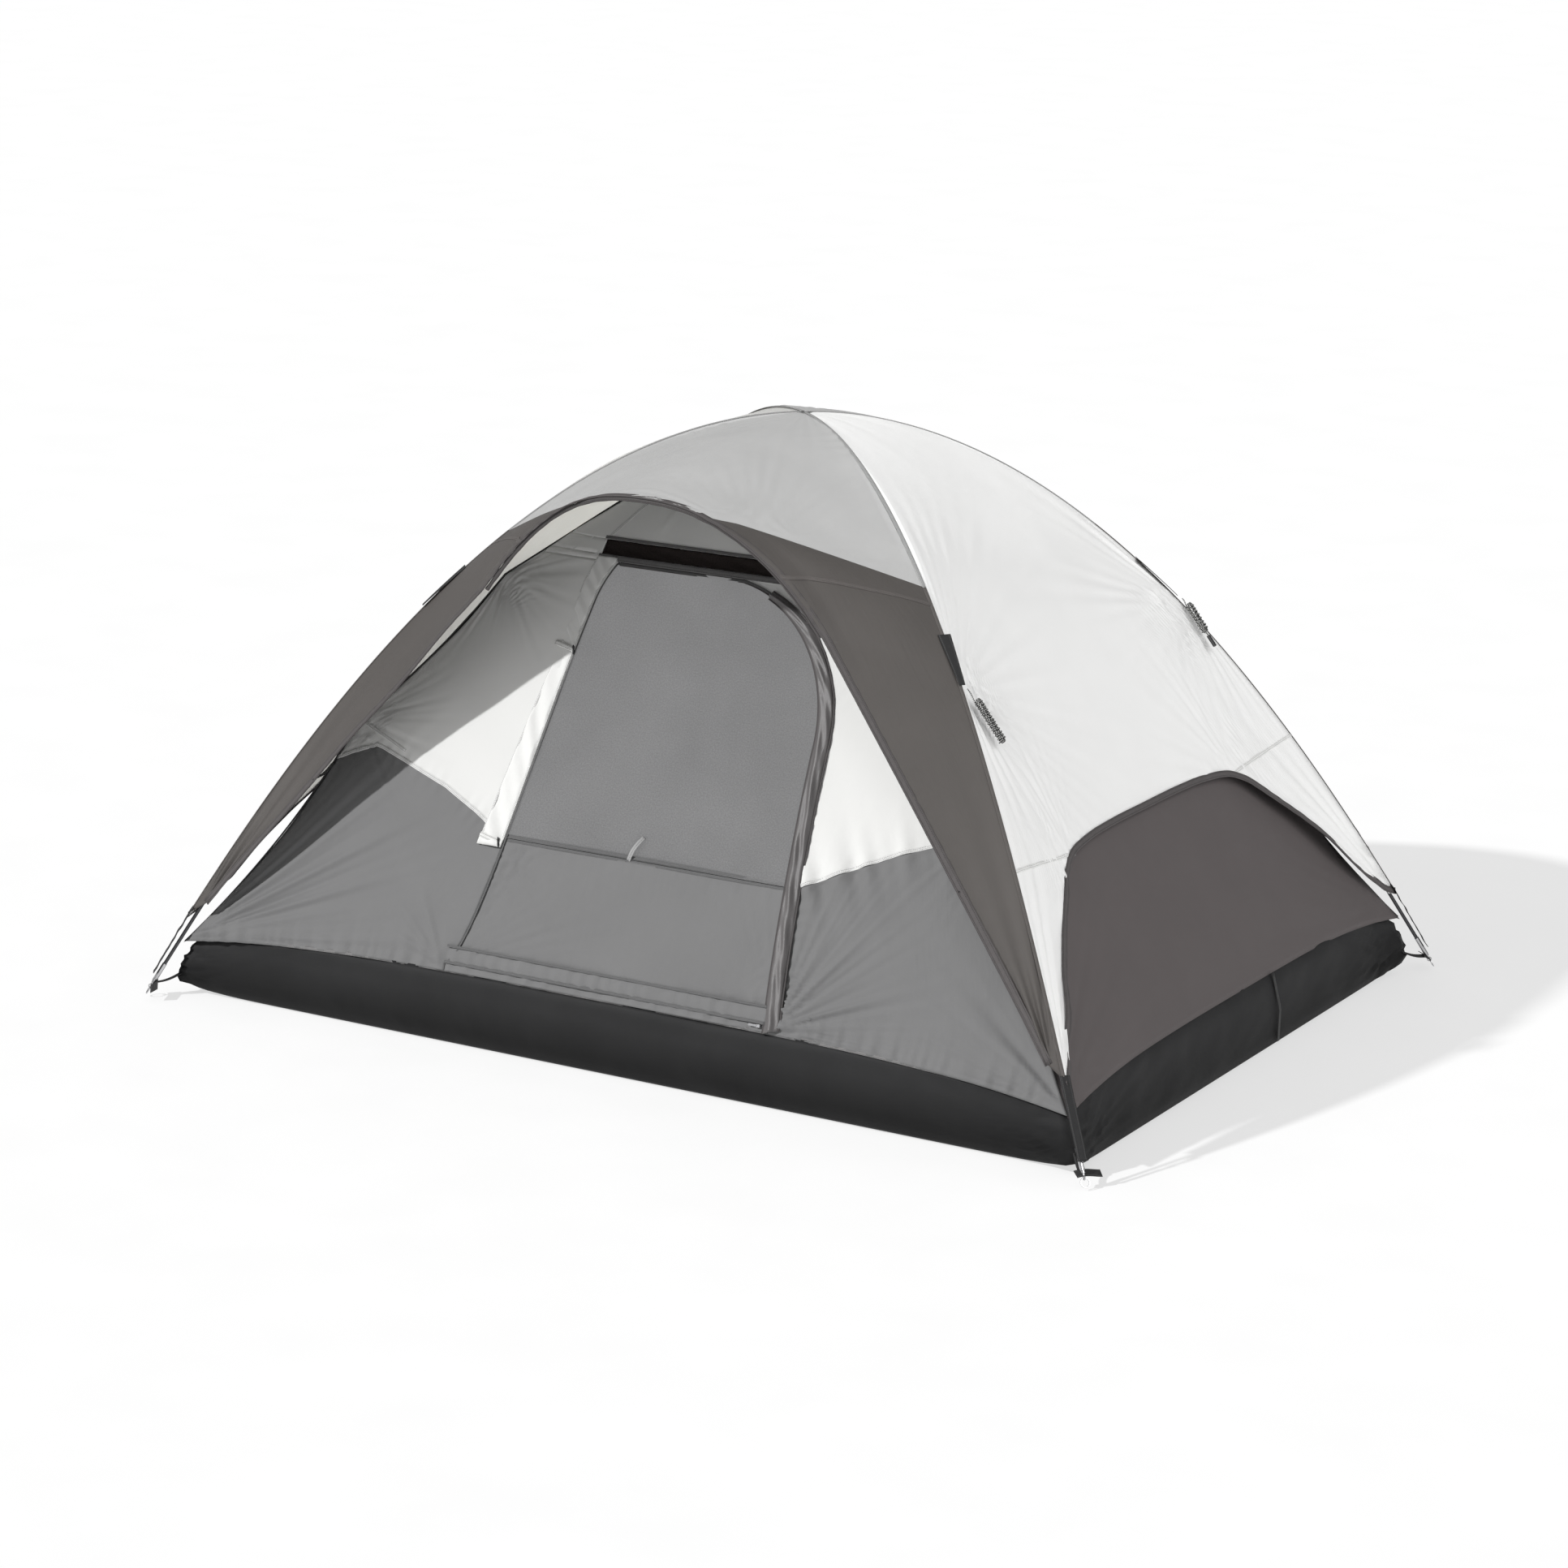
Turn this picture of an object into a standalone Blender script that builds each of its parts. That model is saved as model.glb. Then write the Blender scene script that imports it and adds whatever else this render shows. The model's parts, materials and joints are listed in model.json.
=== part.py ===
"""Four-person dome tent with a full-height door and a clip-on rainfly.

Metres, +Z up.  Origin on the ground under the crossing of the two main poles.
The door looks towards -Y, the long side of the floor runs along X.

Two long poles cross on the diagonals.  The inner tent hangs from them on
clips.  The rainfly lies over the poles, is cut away in an arch over the door,
over the rear wall and at the two ends, and is strapped to the four corners.
"""
import math
import bpy
import bmesh
from mathutils import Vector, Matrix

# ---------------------------------------------------------------- dimensions
HALF_L = 1.40            # pole tips, half spacing along X
HALF_W = 1.037           # pole tips, half spacing along Y
POLE_H = 1.536           # pole A centreline at the crossing
POLE_STEP = 0.013        # pole B runs this much lower at the crossing
POLE_POW = 1.04          # shape of the bent pole, 1 is a parabola
POLE_R = 0.00475         # 9.5 mm fibreglass pole
BORE_R = 0.0026
FERRULE_R = 0.0062       # sleeve that joins two pole sections
FERRULE_BORE = 0.0053
FERRULE_LEN = 0.040
S_TIP = 0.984            # the pole itself ends here, the pin carries on
SECTIONS = 5

CLOTH = 0.0012           # thickness given to every cloth panel
FLY_OFF = 0.016          # rainfly outside the pole centreline
HEM_Z = 0.215            # where the legs of the rainfly end

INNER_H = 1.472          # top of the inner tent
INSET = 0.07             # inner tent hangs this share inside the poles
TUB_TOP = 0.200
TUB_X, TUB_Y = 1.312, 0.936
WALL_BOTTOM = 0.2025
DOOR_BOTTOM = 0.222
DOOR_SEAM = 0.530        # solid lower part of the door, mesh above
DOOR_TOP = 1.192
VENT_BOTTOM, VENT_TOP = 1.206, 1.240
VENT_HALF = 0.365
ROOF_Z = 1.262
DOOR_GAP = 0.0020        # zip gap round the door

FLAP_W = 0.050           # storm flap over the door zip
SEAM_S = 0.436           # cross seam of the front fly panel, on the pole

COLL = bpy.data.collections
for ob in list(bpy.data.objects):
    bpy.data.objects.remove(ob, do_unlink=True)
tent = COLL.new("dome_tent")
bpy.context.scene.collection.children.link(tent)
cutters = COLL.new("cutters")
bpy.context.scene.collection.children.link(cutters)


# ---------------------------------------------------------------- materials
def material(name, colour, rough, metal=0.0, alpha=1.0):
    m = bpy.data.materials.new(name)
    m.use_nodes = True
    b = m.node_tree.nodes["Principled BSDF"]
    b.inputs["Base Color"].default_value = (*colour, 1.0)
    b.inputs["Roughness"].default_value = rough
    b.inputs["Metallic"].default_value = metal
    return m


PALETTE = {
    "white_cloth": ((0.80, 0.80, 0.78), 0.75, 0.0),
    "grey_cloth": ((0.23, 0.23, 0.23), 0.70, 0.0),
    "taupe_cloth": ((0.15, 0.135, 0.13), 0.72, 0.0),
    "black_cloth": ((0.012, 0.012, 0.013), 0.60, 0.0),
    "mesh_cloth": ((0.26, 0.26, 0.26), 0.80, 0.0),
    "black_mesh": ((0.03, 0.026, 0.024), 0.80, 0.0),
    "webbing": ((0.02, 0.02, 0.021), 0.75, 0.0),
    "fibreglass": ((0.05, 0.05, 0.055), 0.30, 0.0),
    "steel": ((0.66, 0.66, 0.67), 0.28, 1.0),
    "plastic": ((0.02, 0.02, 0.02), 0.45, 0.0),
    "elastic": ((0.75, 0.75, 0.72), 0.80, 0.0),
    "cord": ((0.04, 0.04, 0.04), 0.70, 0.0),
}


def own_material(node, kind):
    colour, rough, metal = PALETTE[kind]
    return material(node + "_" + kind, colour, rough, metal)


# ---------------------------------------------------------------- helpers
def add_object(name, mesh, kind, coll=None):
    ob = bpy.data.objects.new(name, mesh)
    (coll or tent).objects.link(ob)
    mesh.materials.clear()
    mesh.materials.append(own_material(name, kind))
    return ob


def face_outwards(bm):
    bmesh.ops.recalc_face_normals(bm, faces=bm.faces)


def sheet(name, nu, nv, place, kind, keep=None, thick=CLOTH, wrap=False,
          inside=Vector((0, 0, 0.45)), smooth=True, coll=None):
    """A grid bent to place(i, j), with openings, made solid by Solidify.

    i runs 0..nu and j runs 0..nv.  keep(i, j) says whether a cell is cloth.
    The outer face is the one that looks away from the point inside.
    """
    bm = bmesh.new()
    bmesh.ops.create_grid(bm, x_segments=nu, y_segments=nv, size=1.0)
    for v in bm.verts:
        v.co.x = round((v.co.x + 1.0) / 2.0 * nu)
        v.co.y = round((v.co.y + 1.0) / 2.0 * nv)
    if keep is not None:
        gone = []
        for f in bm.faces:
            c = f.calc_center_median()
            if not keep(int(c.x), int(c.y)):
                gone.append(f)
        bmesh.ops.delete(bm, geom=gone, context="FACES")
    for v in bm.verts:
        v.co = place(int(round(v.co.x)), int(round(v.co.y)))
    bmesh.ops.remove_doubles(bm, verts=bm.verts, dist=0.00005)
    face_outwards(bm)
    bm.faces.ensure_lookup_table()
    total = 0.0
    for f in bm.faces:
        total += f.normal.dot(f.calc_center_median() - inside) * f.calc_area()
    if total < 0.0:
        bmesh.ops.reverse_faces(bm, faces=bm.faces)
    me = bpy.data.meshes.new(name)
    bm.to_mesh(me)
    bm.free()
    if smooth:
        me.shade_smooth()
    ob = add_object(name, me, kind, coll)
    so = ob.modifiers.new("thickness", "SOLIDIFY")
    so.thickness = thick
    so.offset = -1.0
    so.use_even_offset = False
    return ob


def pole_z(s, height):
    return height * max(0.0, 1.0 - s * s) ** POLE_POW


def pole_point(s, sign, height):
    """A point on a pole; sign +1 runs (-,-) to (+,+), -1 runs (-,+) to (+,-)."""
    return Vector((s * HALF_L, sign * s * HALF_W, pole_z(abs(s), height)))


def pole_tangent(s, sign, height):
    a = pole_point(s - 0.002, sign, height)
    b = pole_point(min(s + 0.002, 1.0), sign, height)
    return (b - a).normalized()


def pole_side(sign):
    """Level direction square to the pole's upright plane."""
    return Vector((-sign * HALF_W, HALF_L, 0.0)).normalized()


def pole_normal(s, sign, height):
    t = pole_tangent(s, sign, height)
    n = t.cross(pole_side(sign))
    if n.z < 0:
        n = -n
    return n.normalized()


def arc_table(sign, height, a, b, n=2400):
    pts = [(a, 0.0)]
    last = pole_point(a, sign, height)
    run = 0.0
    for k in range(1, n + 1):
        s = a + (b - a) * k / n
        p = pole_point(s, sign, height)
        run += (p - last).length
        last = p
        pts.append((s, run))
    return pts


def s_at(table, length):
    lo, hi = 0, len(table) - 1
    while hi - lo > 1:
        mid = (lo + hi) // 2
        if table[mid][1] < length:
            lo = mid
        else:
            hi = mid
    s0, l0 = table[lo]
    s1, l1 = table[hi]
    if l1 == l0:
        return s0
    f = (length - l0) / (l1 - l0)
    return s0 + (s1 - s0) * f


def turned_along(name, frame_at, profile, sides, kind, closed=True, coll=None):
    """A turned profile (distance along, radius) carried along a curve."""
    nv = len(profile) if closed else len(profile) - 1
    bm = bmesh.new()
    bmesh.ops.create_grid(bm, x_segments=sides, y_segments=nv, size=1.0)
    for v in bm.verts:
        i = int(round((v.co.x + 1.0) / 2.0 * sides)) % sides
        j = int(round((v.co.y + 1.0) / 2.0 * nv))
        if closed:
            j = j % nv
        along, radius = profile[j]
        p, n, b = frame_at(along)
        ang = 2.0 * math.pi * (i + 0.5) / sides
        v.co = p + (n * math.cos(ang) + b * math.sin(ang)) * radius
    bmesh.ops.remove_doubles(bm, verts=bm.verts, dist=0.00004)
    face_outwards(bm)
    if bm.calc_volume(signed=True) < 0.0:
        bmesh.ops.reverse_faces(bm, faces=bm.faces)
    me = bpy.data.meshes.new(name)
    bm.to_mesh(me)
    bm.free()
    me.shade_smooth()
    me.set_sharp_from_angle(angle=math.radians(50))
    return add_object(name, me, kind, coll)


def frozen(ob):
    """The evaluated mesh of an object, as a mesh of its own."""
    dg = bpy.context.evaluated_depsgraph_get()
    return bpy.data.meshes.new_from_object(ob.evaluated_get(dg))


def box_between(name, p, q, width, height, up, kind, coll=None, bevel=0.0):
    """A straight bar from p to q, from a cube primitive."""
    bm = bmesh.new()
    bmesh.ops.create_cube(bm, size=1.0)
    x = (q - p).normalized()
    y = up.cross(x).normalized()
    z = x.cross(y).normalized()
    m = Matrix((x, y, z)).transposed().to_4x4()
    m.translation = (p + q) / 2.0
    bmesh.ops.scale(bm, verts=bm.verts, vec=((q - p).length, width, height))
    if bevel > 0.0:
        bmesh.ops.bevel(bm, geom=list(bm.edges), offset=bevel, segments=1,
                        affect="EDGES")
    bmesh.ops.transform(bm, verts=bm.verts, matrix=m)
    me = bpy.data.meshes.new(name)
    bm.to_mesh(me)
    bm.free()
    return add_object(name, me, kind, coll)


def hide_tool(ob):
    ob.hide_render = True
    ob.display_type = "WIRE"


def join_to(ob, other, name):
    mod = ob.modifiers.new(name, "BOOLEAN")
    mod.operation = "UNION"
    mod.object = other
    mod.solver = "EXACT"
    hide_tool(other)


# ---------------------------------------------------------------- main poles
POLES = {"a": (1, POLE_H), "b": (-1, POLE_H - POLE_STEP)}


def build_pole(letter):
    sign, height = POLES[letter]
    table = arc_table(sign, height, -S_TIP, S_TIP)
    total = table[-1][1]
    step = total / SECTIONS
    side = pole_side(sign)

    def frame_at(length):
        s = s_at(table, length)
        if length < 0:
            s = -S_TIP
        p = pole_point(s, sign, height)
        n = pole_normal(s, sign, height)
        t = pole_tangent(s, sign, height)
        if length < 0:
            p = p + t * length
        if length > total:
            p = p + t * (length - total)
        return p, n, side

    gap = 0.0006
    every = []
    for k in range(SECTIONS):
        a = k * step + (gap / 2 if k else 0.0)
        b = (k + 1) * step - (gap / 2 if k < SECTIONS - 1 else 0.0)
        runs = (6, 9, 12, 9, 6)[k]
        stations = [a + (b - a) * m / runs for m in range(runs + 1)]
        if k:
            stations.insert(1, a + FERRULE_LEN)
        if k < SECTIONS - 1:
            stations.insert(-1, b - 0.030)
        every += stations[:-1]
        outer = [(x, POLE_R) for x in stations]
        inner = [(x, BORE_R) for x in stations]
        if k < SECTIONS - 1:
            # the ferrule: a sleeve fixed on this end, open towards the next
            grip = 0.030
            outer = [p for p in outer if p[0] < b - grip - 0.01]
            loop = outer + [(b - grip, POLE_R), (b - grip, FERRULE_R),
                            (b + FERRULE_LEN, FERRULE_R),
                            (b + FERRULE_LEN, FERRULE_BORE),
                            (b, FERRULE_BORE), (b, BORE_R)]
            loop += list(reversed(inner[:-1]))
        else:
            loop = outer + list(reversed(inner))
        turned_along("pole_%s_section_%d" % (letter, k + 1), frame_at, loop,
                     8, "fibreglass")
    # elastic cord that threads the sections together
    start, end = 0.052, total - 0.052
    line = [(start, 0.0), (start, 0.00125)]
    line += [(x, 0.00125) for x in every if start + 0.01 < x < end - 0.01]
    line += [(end, 0.00125), (end, 0.0)]
    turned_along("pole_%s_shock_cord" % letter, frame_at, line, 6, "cord",
                 closed=False)
    return frame_at, total


frame_a, total_a = build_pole("a")
frame_b, total_b = build_pole("b")


# ---------------------------------------------------------------- corner pins and rings
CORNERS = {
    "front_left": (-1, -1, "a", -1),
    "front_right": (1, -1, "b", 1),
    "rear_right": (1, 1, "a", 1),
    "rear_left": (-1, 1, "b", -1),
}


def corner_frame(corner):
    """Pole end point, outward tangent, upward normal and side direction."""
    sx, sy, letter, end = CORNERS[corner]
    sign, height = POLES[letter]
    s = S_TIP * end
    p = pole_point(s, sign, height)
    t = pole_tangent(s, sign, height) * end
    n = pole_normal(s, sign, height)
    return p, t, n, pole_side(sign)


EYE_R, EYE_WIRE = 0.0052, 0.0016
RING_R, RING_WIRE = 0.0115, 0.0015


def build_corner(corner):
    p, t, n, b = corner_frame(corner)

    def frame_at(x):
        return p + t * x, n, b

    prof = [(-0.040, 0.0), (-0.040, 0.0017), (-0.038, 0.0021),
            (0.0008, 0.0021), (0.0008, 0.0050), (0.0060, 0.0050),
            (0.0075, 0.0030), (0.0125, 0.0024), (0.0125, 0.0)]
    pin = turned_along("corner_pin_" + corner, frame_at, prof, 10, "steel",
                       closed=False)
    # the eye at the foot of the pin lies in the pole's upright plane
    eye_c = p + t * (0.0120 + EYE_R)
    bpy.ops.mesh.primitive_torus_add(major_radius=EYE_R, minor_radius=EYE_WIRE,
                                     major_segments=14, minor_segments=6)
    eye = bpy.context.active_object
    eye.name = "pin_eye_" + corner
    for c in list(eye.users_collection):
        c.objects.unlink(eye)
    cutters.objects.link(eye)
    m = Matrix((t, n, b)).transposed().to_4x4()
    m.translation = eye_c
    eye.matrix_world = m
    eye.data.materials.append(pin.data.materials[0])
    join_to(pin, eye, "eye")
    # the ring hangs in the eye and lies out along the ground
    out = Vector((t.x, t.y, 0.0)).normalized()
    droop = math.radians(58)
    x = (out * math.cos(droop) - Vector((0, 0, math.sin(droop)))).normalized()
    centre = eye_c + x * (RING_R + 0.0004)
    z = x.cross(b).normalized()
    y = z.cross(x).normalized()
    bpy.ops.mesh.primitive_torus_add(major_radius=RING_R, minor_radius=RING_WIRE,
                                     major_segments=20, minor_segments=6)
    ring = bpy.context.active_object
    ring.name = "corner_ring_" + corner
    for c in list(ring.users_collection):
        c.objects.unlink(ring)
    tent.objects.link(ring)
    m = Matrix((x, y, z)).transposed().to_4x4()
    m.translation = centre
    ring.matrix_world = m
    ring.data.name = ring.name
    ring.data.shade_smooth()
    ring.data.materials.append(own_material(ring.name, "steel"))
    return centre


RING_CENTRES = {}
for corner in CORNERS:
    RING_CENTRES[corner] = build_corner(corner)


# ---------------------------------------------------------------- inner tent profile
def inner_s(z):
    return math.sqrt(max(0.0, 1.0 - (z / INNER_H) ** (1.0 / POLE_POW)))


def inner_xy(z):
    """Half length and half width of the inner tent at height z."""
    s = inner_s(z)
    k = s * (1.0 - INSET * (1.0 - s * s))
    return HALF_L * k, HALF_W * k


# tub floor: flat groundsheet with upright sides, and a webbing tab per corner
def tub_ring(half_x, half_y, z, nx=6, ny=4, pull=0.0):
    pts = []
    for k in range(nx):
        pts.append((-half_x + 2 * half_x * k / nx, -half_y))
    for k in range(ny):
        pts.append((half_x, -half_y + 2 * half_y * k / ny))
    for k in range(nx):
        pts.append((half_x - 2 * half_x * k / nx, half_y))
    for k in range(ny):
        pts.append((-half_x, half_y - 2 * half_y * k / ny))
    return [Vector((x, y, z)) for x, y in pts]


top_x, top_y = inner_xy(TUB_TOP)
tub_rings = [
    [Vector((0, 0, 0))] * 20,
    tub_ring(TUB_X - 0.012, TUB_Y - 0.012, 0.0),
    tub_ring(TUB_X, TUB_Y, 0.012),
    tub_ring(TUB_X + 0.004, TUB_Y + 0.012, 0.09),
    tub_ring(top_x, top_y, TUB_TOP),
]
tub = sheet("floor_tub", 20, 4,
            lambda i, j: tub_rings[j][i % 20].copy(), "black_cloth",
            inside=Vector((0, 0, 0.1)))
tub.modifiers["thickness"].use_even_offset = True
for corner, (sx, sy, letter, end) in CORNERS.items():
    p, t, n, b = corner_frame(corner)
    ring_c = RING_CENTRES[corner]
    out = Vector((ring_c.x, ring_c.y, 0)).normalized()
    # webbing runs from the foot of the tub's corner to just short of the pin
    a = Vector((sx * (TUB_X - 0.010), sy * (TUB_Y - 0.006), 0.034))
    e = p - n * 0.014 - out * 0.006
    e.z = 0.016
    tab = box_between("tub_tab_" + corner, a, e, 0.024, 0.0020,
                      Vector((0, 0, 1)), "webbing", cutters)
    join_to(tub, tab, "tab_" + corner)


# ---------------------------------------------------------------- walls
def levels(*zs_and_counts):
    """Heights from a chain of (z, steps to the next) pairs."""
    out = []
    for k in range(0, len(zs_and_counts) - 1, 2):
        z0, n = zs_and_counts[k], zs_and_counts[k + 1]
        z1 = zs_and_counts[k + 2]
        out += [z0 + (z1 - z0) * m / n for m in range(n)]
    out.append(zs_and_counts[-1])
    return out


def smooth01(x):
    x = max(0.0, min(1.0, x))
    return x * x * (3.0 - 2.0 * x)


ARCH_FOOT = 0.84         # the door's round top corner starts here


def door_left(z):
    """Left edge of the door opening at height z."""
    f = max(0.0, (z - DOOR_BOTTOM) / (DOOR_TOP - DOOR_BOTTOM))
    x = -0.502 + 0.176 * math.sqrt(f)
    corner = max(0.0, (z - 1.10) / (DOOR_TOP - 1.10))
    return x + 0.022 * corner ** 2


def door_right(z):
    """Right edge: nearly upright, with a wide round top corner."""
    f = max(0.0, (z - DOOR_BOTTOM) / (ARCH_FOOT - DOOR_BOTTOM))
    if z <= ARCH_FOOT:
        return 0.467 - 0.046 * f ** 0.7
    c = min(1.0, (z - ARCH_FOOT) / (DOOR_TOP - ARCH_FOOT))
    return 0.421 - 0.400 * (1.0 - math.sqrt(max(0.0, 1.0 - c * c)))


EDGE = 0.004             # cloth stops this short of the tent's corner lines
ARCH_Z = [ARCH_FOOT + (DOOR_TOP - ARCH_FOOT) * math.sin(math.radians(15 * k))
          for k in range(7)]
DOOR_Z = levels(DOOR_BOTTOM, 4, DOOR_SEAM, 4, ARCH_FOOT)[:-1] + ARCH_Z


def straight(edge, z):
    """The sewn edge: straight from one level of DOOR_Z to the next."""
    z = max(DOOR_Z[0], min(DOOR_Z[-1], z))
    for a, b in zip(DOOR_Z, DOOR_Z[1:]):
        if z <= b + 1e-9:
            f = (z - a) / (b - a)
            return edge(a) + (edge(b) - edge(a)) * f
    return edge(DOOR_Z[-1])


def lean_factor(edge, z):
    """How much longer the gap is measured along X than square to the edge."""
    m = 0.0
    for a, b in zip(DOOR_Z, DOOR_Z[1:]):
        if a - 0.003 <= z <= b + 0.003:
            m = max(m, abs((edge(b) - edge(a)) / (b - a)))
    return math.sqrt(1.0 + m * m)


def front_point(x, z, out=0.0):
    """On the front wall; out lifts the point off the cloth, outwards."""
    hx, hy = inner_xy(z)
    hx2, hy2 = inner_xy(z + 0.004)
    n = Vector((0.0, -0.004, hy2 - hy))
    n = Vector((0.0, -0.004, -(hy2 - hy))).normalized()
    if n.z < 0:
        n.z = -n.z
    return Vector((x, -hy, z)) + n * out


def build_front_wall():
    zs = ([WALL_BOTTOM] + DOOR_Z
          + levels(VENT_BOTTOM, 1, VENT_TOP, 1, ROOF_Z - 0.001))
    left_n, mid_n, right_n = 3, 4, 3

    def columns(z):
        hx, _ = inner_xy(z)
        hx -= EDGE
        if z <= DOOR_TOP + 0.0001:
            zz = max(z, DOOR_BOTTOM)
            a, b = door_left(zz), door_right(zz)
        else:
            a, b = -VENT_HALF, VENT_HALF
        if abs(z - DOOR_TOP) < 1e-6:
            b = door_right(DOOR_TOP)
        xs = [-hx + (a + hx) * k / left_n for k in range(left_n)]
        xs += [a + (b - a) * k / mid_n for k in range(mid_n)]
        xs += [b + (hx - b) * k / right_n for k in range(right_n + 1)]
        return xs

    cols = [columns(z) for z in zs]

    def place(i, j):
        return front_point(cols[j][i], zs[j])

    def keep(i, j):
        z = (zs[j] + zs[j + 1]) / 2.0
        middle = left_n <= i < left_n + mid_n
        door = DOOR_BOTTOM < z < DOOR_TOP
        vent = VENT_BOTTOM < z < VENT_TOP
        return not (middle and (door or vent))

    return sheet("front_wall", left_n + mid_n + right_n, len(zs) - 1, place,
                 "white_cloth", keep=keep)


build_front_wall()


def band(name, kind, z_levels, left, right, n, out=0.0, inset=DOOR_GAP):
    """Cloth that fills part of the front wall between left(z) and right(z)."""
    def place(i, j):
        z = z_levels[j]
        if name == "door_panel" and i == 0 and j == 0:
            z += 0.014       # the foot of the hinge side is cut away
        a, b = left(z), right(z)
        if left is door_left:
            a = straight(left, z) + inset * lean_factor(left, z)
            b = straight(right, z) - inset * lean_factor(right, z)
        return front_point(a + (b - a) * i / n, z, out)
    return sheet(name, n, len(z_levels) - 1, place, kind)


band("door_panel", "grey_cloth",
     levels(DOOR_BOTTOM + DOOR_GAP, 4, DOOR_SEAM - 0.0008),
     door_left, door_right, 4)
band("door_mesh", "mesh_cloth",
     levels(DOOR_SEAM + 0.0008, 4, ARCH_FOOT)[:-1] + ARCH_Z[:-1]
     + [DOOR_TOP - DOOR_GAP],
     door_left, door_right, 4)
band("vent_mesh", "black_mesh",
     levels(VENT_BOTTOM + 0.0015, 1, VENT_TOP - 0.0015),
     lambda z: -VENT_HALF, lambda z: VENT_HALF, 4)


def plain_wall(name, kind, axis, sign):
    zs = levels(WALL_BOTTOM, 9, ROOF_Z - 0.001)

    def place(i, j):
        hx, hy = inner_xy(zs[j])
        if axis == "x":
            w = (hy - EDGE) * (2.0 * i / 4 - 1.0)
            return Vector((sign * hx, w, zs[j]))
        w = (hx - EDGE) * (2.0 * i / 4 - 1.0)
        return Vector((w, sign * hy, zs[j]))

    return sheet(name, 4, len(zs) - 1, place, kind)


plain_wall("left_wall", "taupe_cloth", "x", -1)
plain_wall("right_wall", "taupe_cloth", "x", 1)
plain_wall("rear_wall", "white_cloth", "y", 1)


def build_roof():
    zs = [ROOF_Z + 0.001 + (INNER_H - ROOF_Z - 0.001) * f
          for f in (0.0, 0.3, 0.6, 0.82, 0.95, 1.0)]

    def place(i, j):
        hx, hy = inner_xy(zs[j])
        k = i % 16
        side, f = divmod(k, 4)
        f = f / 4.0
        x, y = ((-1 + 2 * f, -1), (1, -1 + 2 * f),
                (1 - 2 * f, 1), (-1, 1 - 2 * f))[side]
        return Vector((x * hx, y * hy, zs[j]))

    return sheet("roof_mesh", 16, len(zs) - 1, place, "black_mesh",
                 inside=Vector((0, 0, 0.9)))


build_roof()


# ---------------------------------------------------------------- door fittings
def build_storm_flap():
    zs = levels(DOOR_BOTTOM - 0.016, 4, 0.53, 4, 0.84, 4, 1.07, 3, 1.150)
    offs = (0.0024, 0.0105, 0.0105, 0.0070)
    fr = (-0.30, -0.13, 0.45, 0.70)

    def place(i, j):
        z = zs[j]
        zz = max(z, DOOR_BOTTOM)
        slope = 0.0
        if zz > 0.85:
            slope = (door_right(zz + 0.002) - door_right(zz - 0.002)) / 0.004
        # keep the flap's width square to the zip as the edge curves over
        lean = min(1.0, abs(slope) * 0.55)
        x = door_right(zz) + FLAP_W * fr[i] * (1.0 + 0.5 * lean)
        q = front_point(x, z + FLAP_W * fr[i] * lean * 0.35, offs[i])
        return q

    return sheet("door_storm_flap", 3, len(zs) - 1, place, "grey_cloth")


build_storm_flap()


def build_slider(name, x, z, along_x, lift):
    """Zip slider body and its pull tab, one casting, lying on the cloth."""
    o = front_point(x, z, 0.0)
    up = (front_point(x, z + 0.01) - front_point(x, z)).normalized()
    acr = Vector((1, 0, 0))
    n = acr.cross(up).normalized()
    if n.y > 0:
        n = -n
    run = -acr if along_x else up
    base = o + n * lift
    body = box_between(name, base - run * 0.006, base + run * 0.006, 0.009,
                       0.0036, n, "steel", bevel=0.0008)
    lead = run if along_x else -run
    tab = box_between(name + "_tab", base + n * 0.0015 + lead * 0.003,
                      base + n * 0.0030 + lead * 0.026, 0.0055, 0.0014, n,
                      "steel", cutters)
    join_to(body, tab, "tab")
    return body


build_slider("zip_slider_bottom", 0.440, DOOR_BOTTOM - 0.009, True, 0.0032)
build_slider("zip_slider_side", door_right(0.262) + 0.0075, 0.262, False,
             0.0040)


def build_tieback(name, x, z, tilt):
    """Toggle bar on a short loop of tape, for holding the rolled-up door."""
    o = front_point(x, z, 0.0)
    up = (front_point(x, z + 0.01) - front_point(x, z)).normalized()
    acr = Vector((1, 0, 0))
    n = acr.cross(up).normalized()
    if n.y > 0:
        n = -n
    run = (acr * math.cos(tilt) + up * math.sin(tilt)).normalized()
    base = o + n * 0.0042
    tape = box_between(name, base - run * 0.026, base + run * 0.024, 0.010,
                       0.0022, n, "elastic", bevel=0.0005)
    tog = base + run * 0.026 + n * 0.0014
    bar_dir = n.cross(run).normalized()
    bpy.ops.mesh.primitive_cylinder_add(vertices=8, radius=0.0030,
                                        depth=0.024)
    bar = bpy.context.active_object
    bar.name = name + "_bar"
    for c in list(bar.users_collection):
        c.objects.unlink(bar)
    cutters.objects.link(bar)
    m = Matrix((run, n.cross(bar_dir) * -1.0, bar_dir)).transposed().to_4x4()
    zax = bar_dir
    xax = run
    yax = zax.cross(xax).normalized()
    m = Matrix((xax, yax, zax)).transposed().to_4x4()
    m.translation = tog
    bar.matrix_world = m
    bar.data.materials.append(tape.data.materials[0])
    join_to(tape, bar, "bar")
    return tape


build_tieback("door_tieback_upper", -0.377, 0.987, math.radians(-12))
build_tieback("door_tieback_lower", -0.448, 0.523, math.radians(-12))


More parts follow.
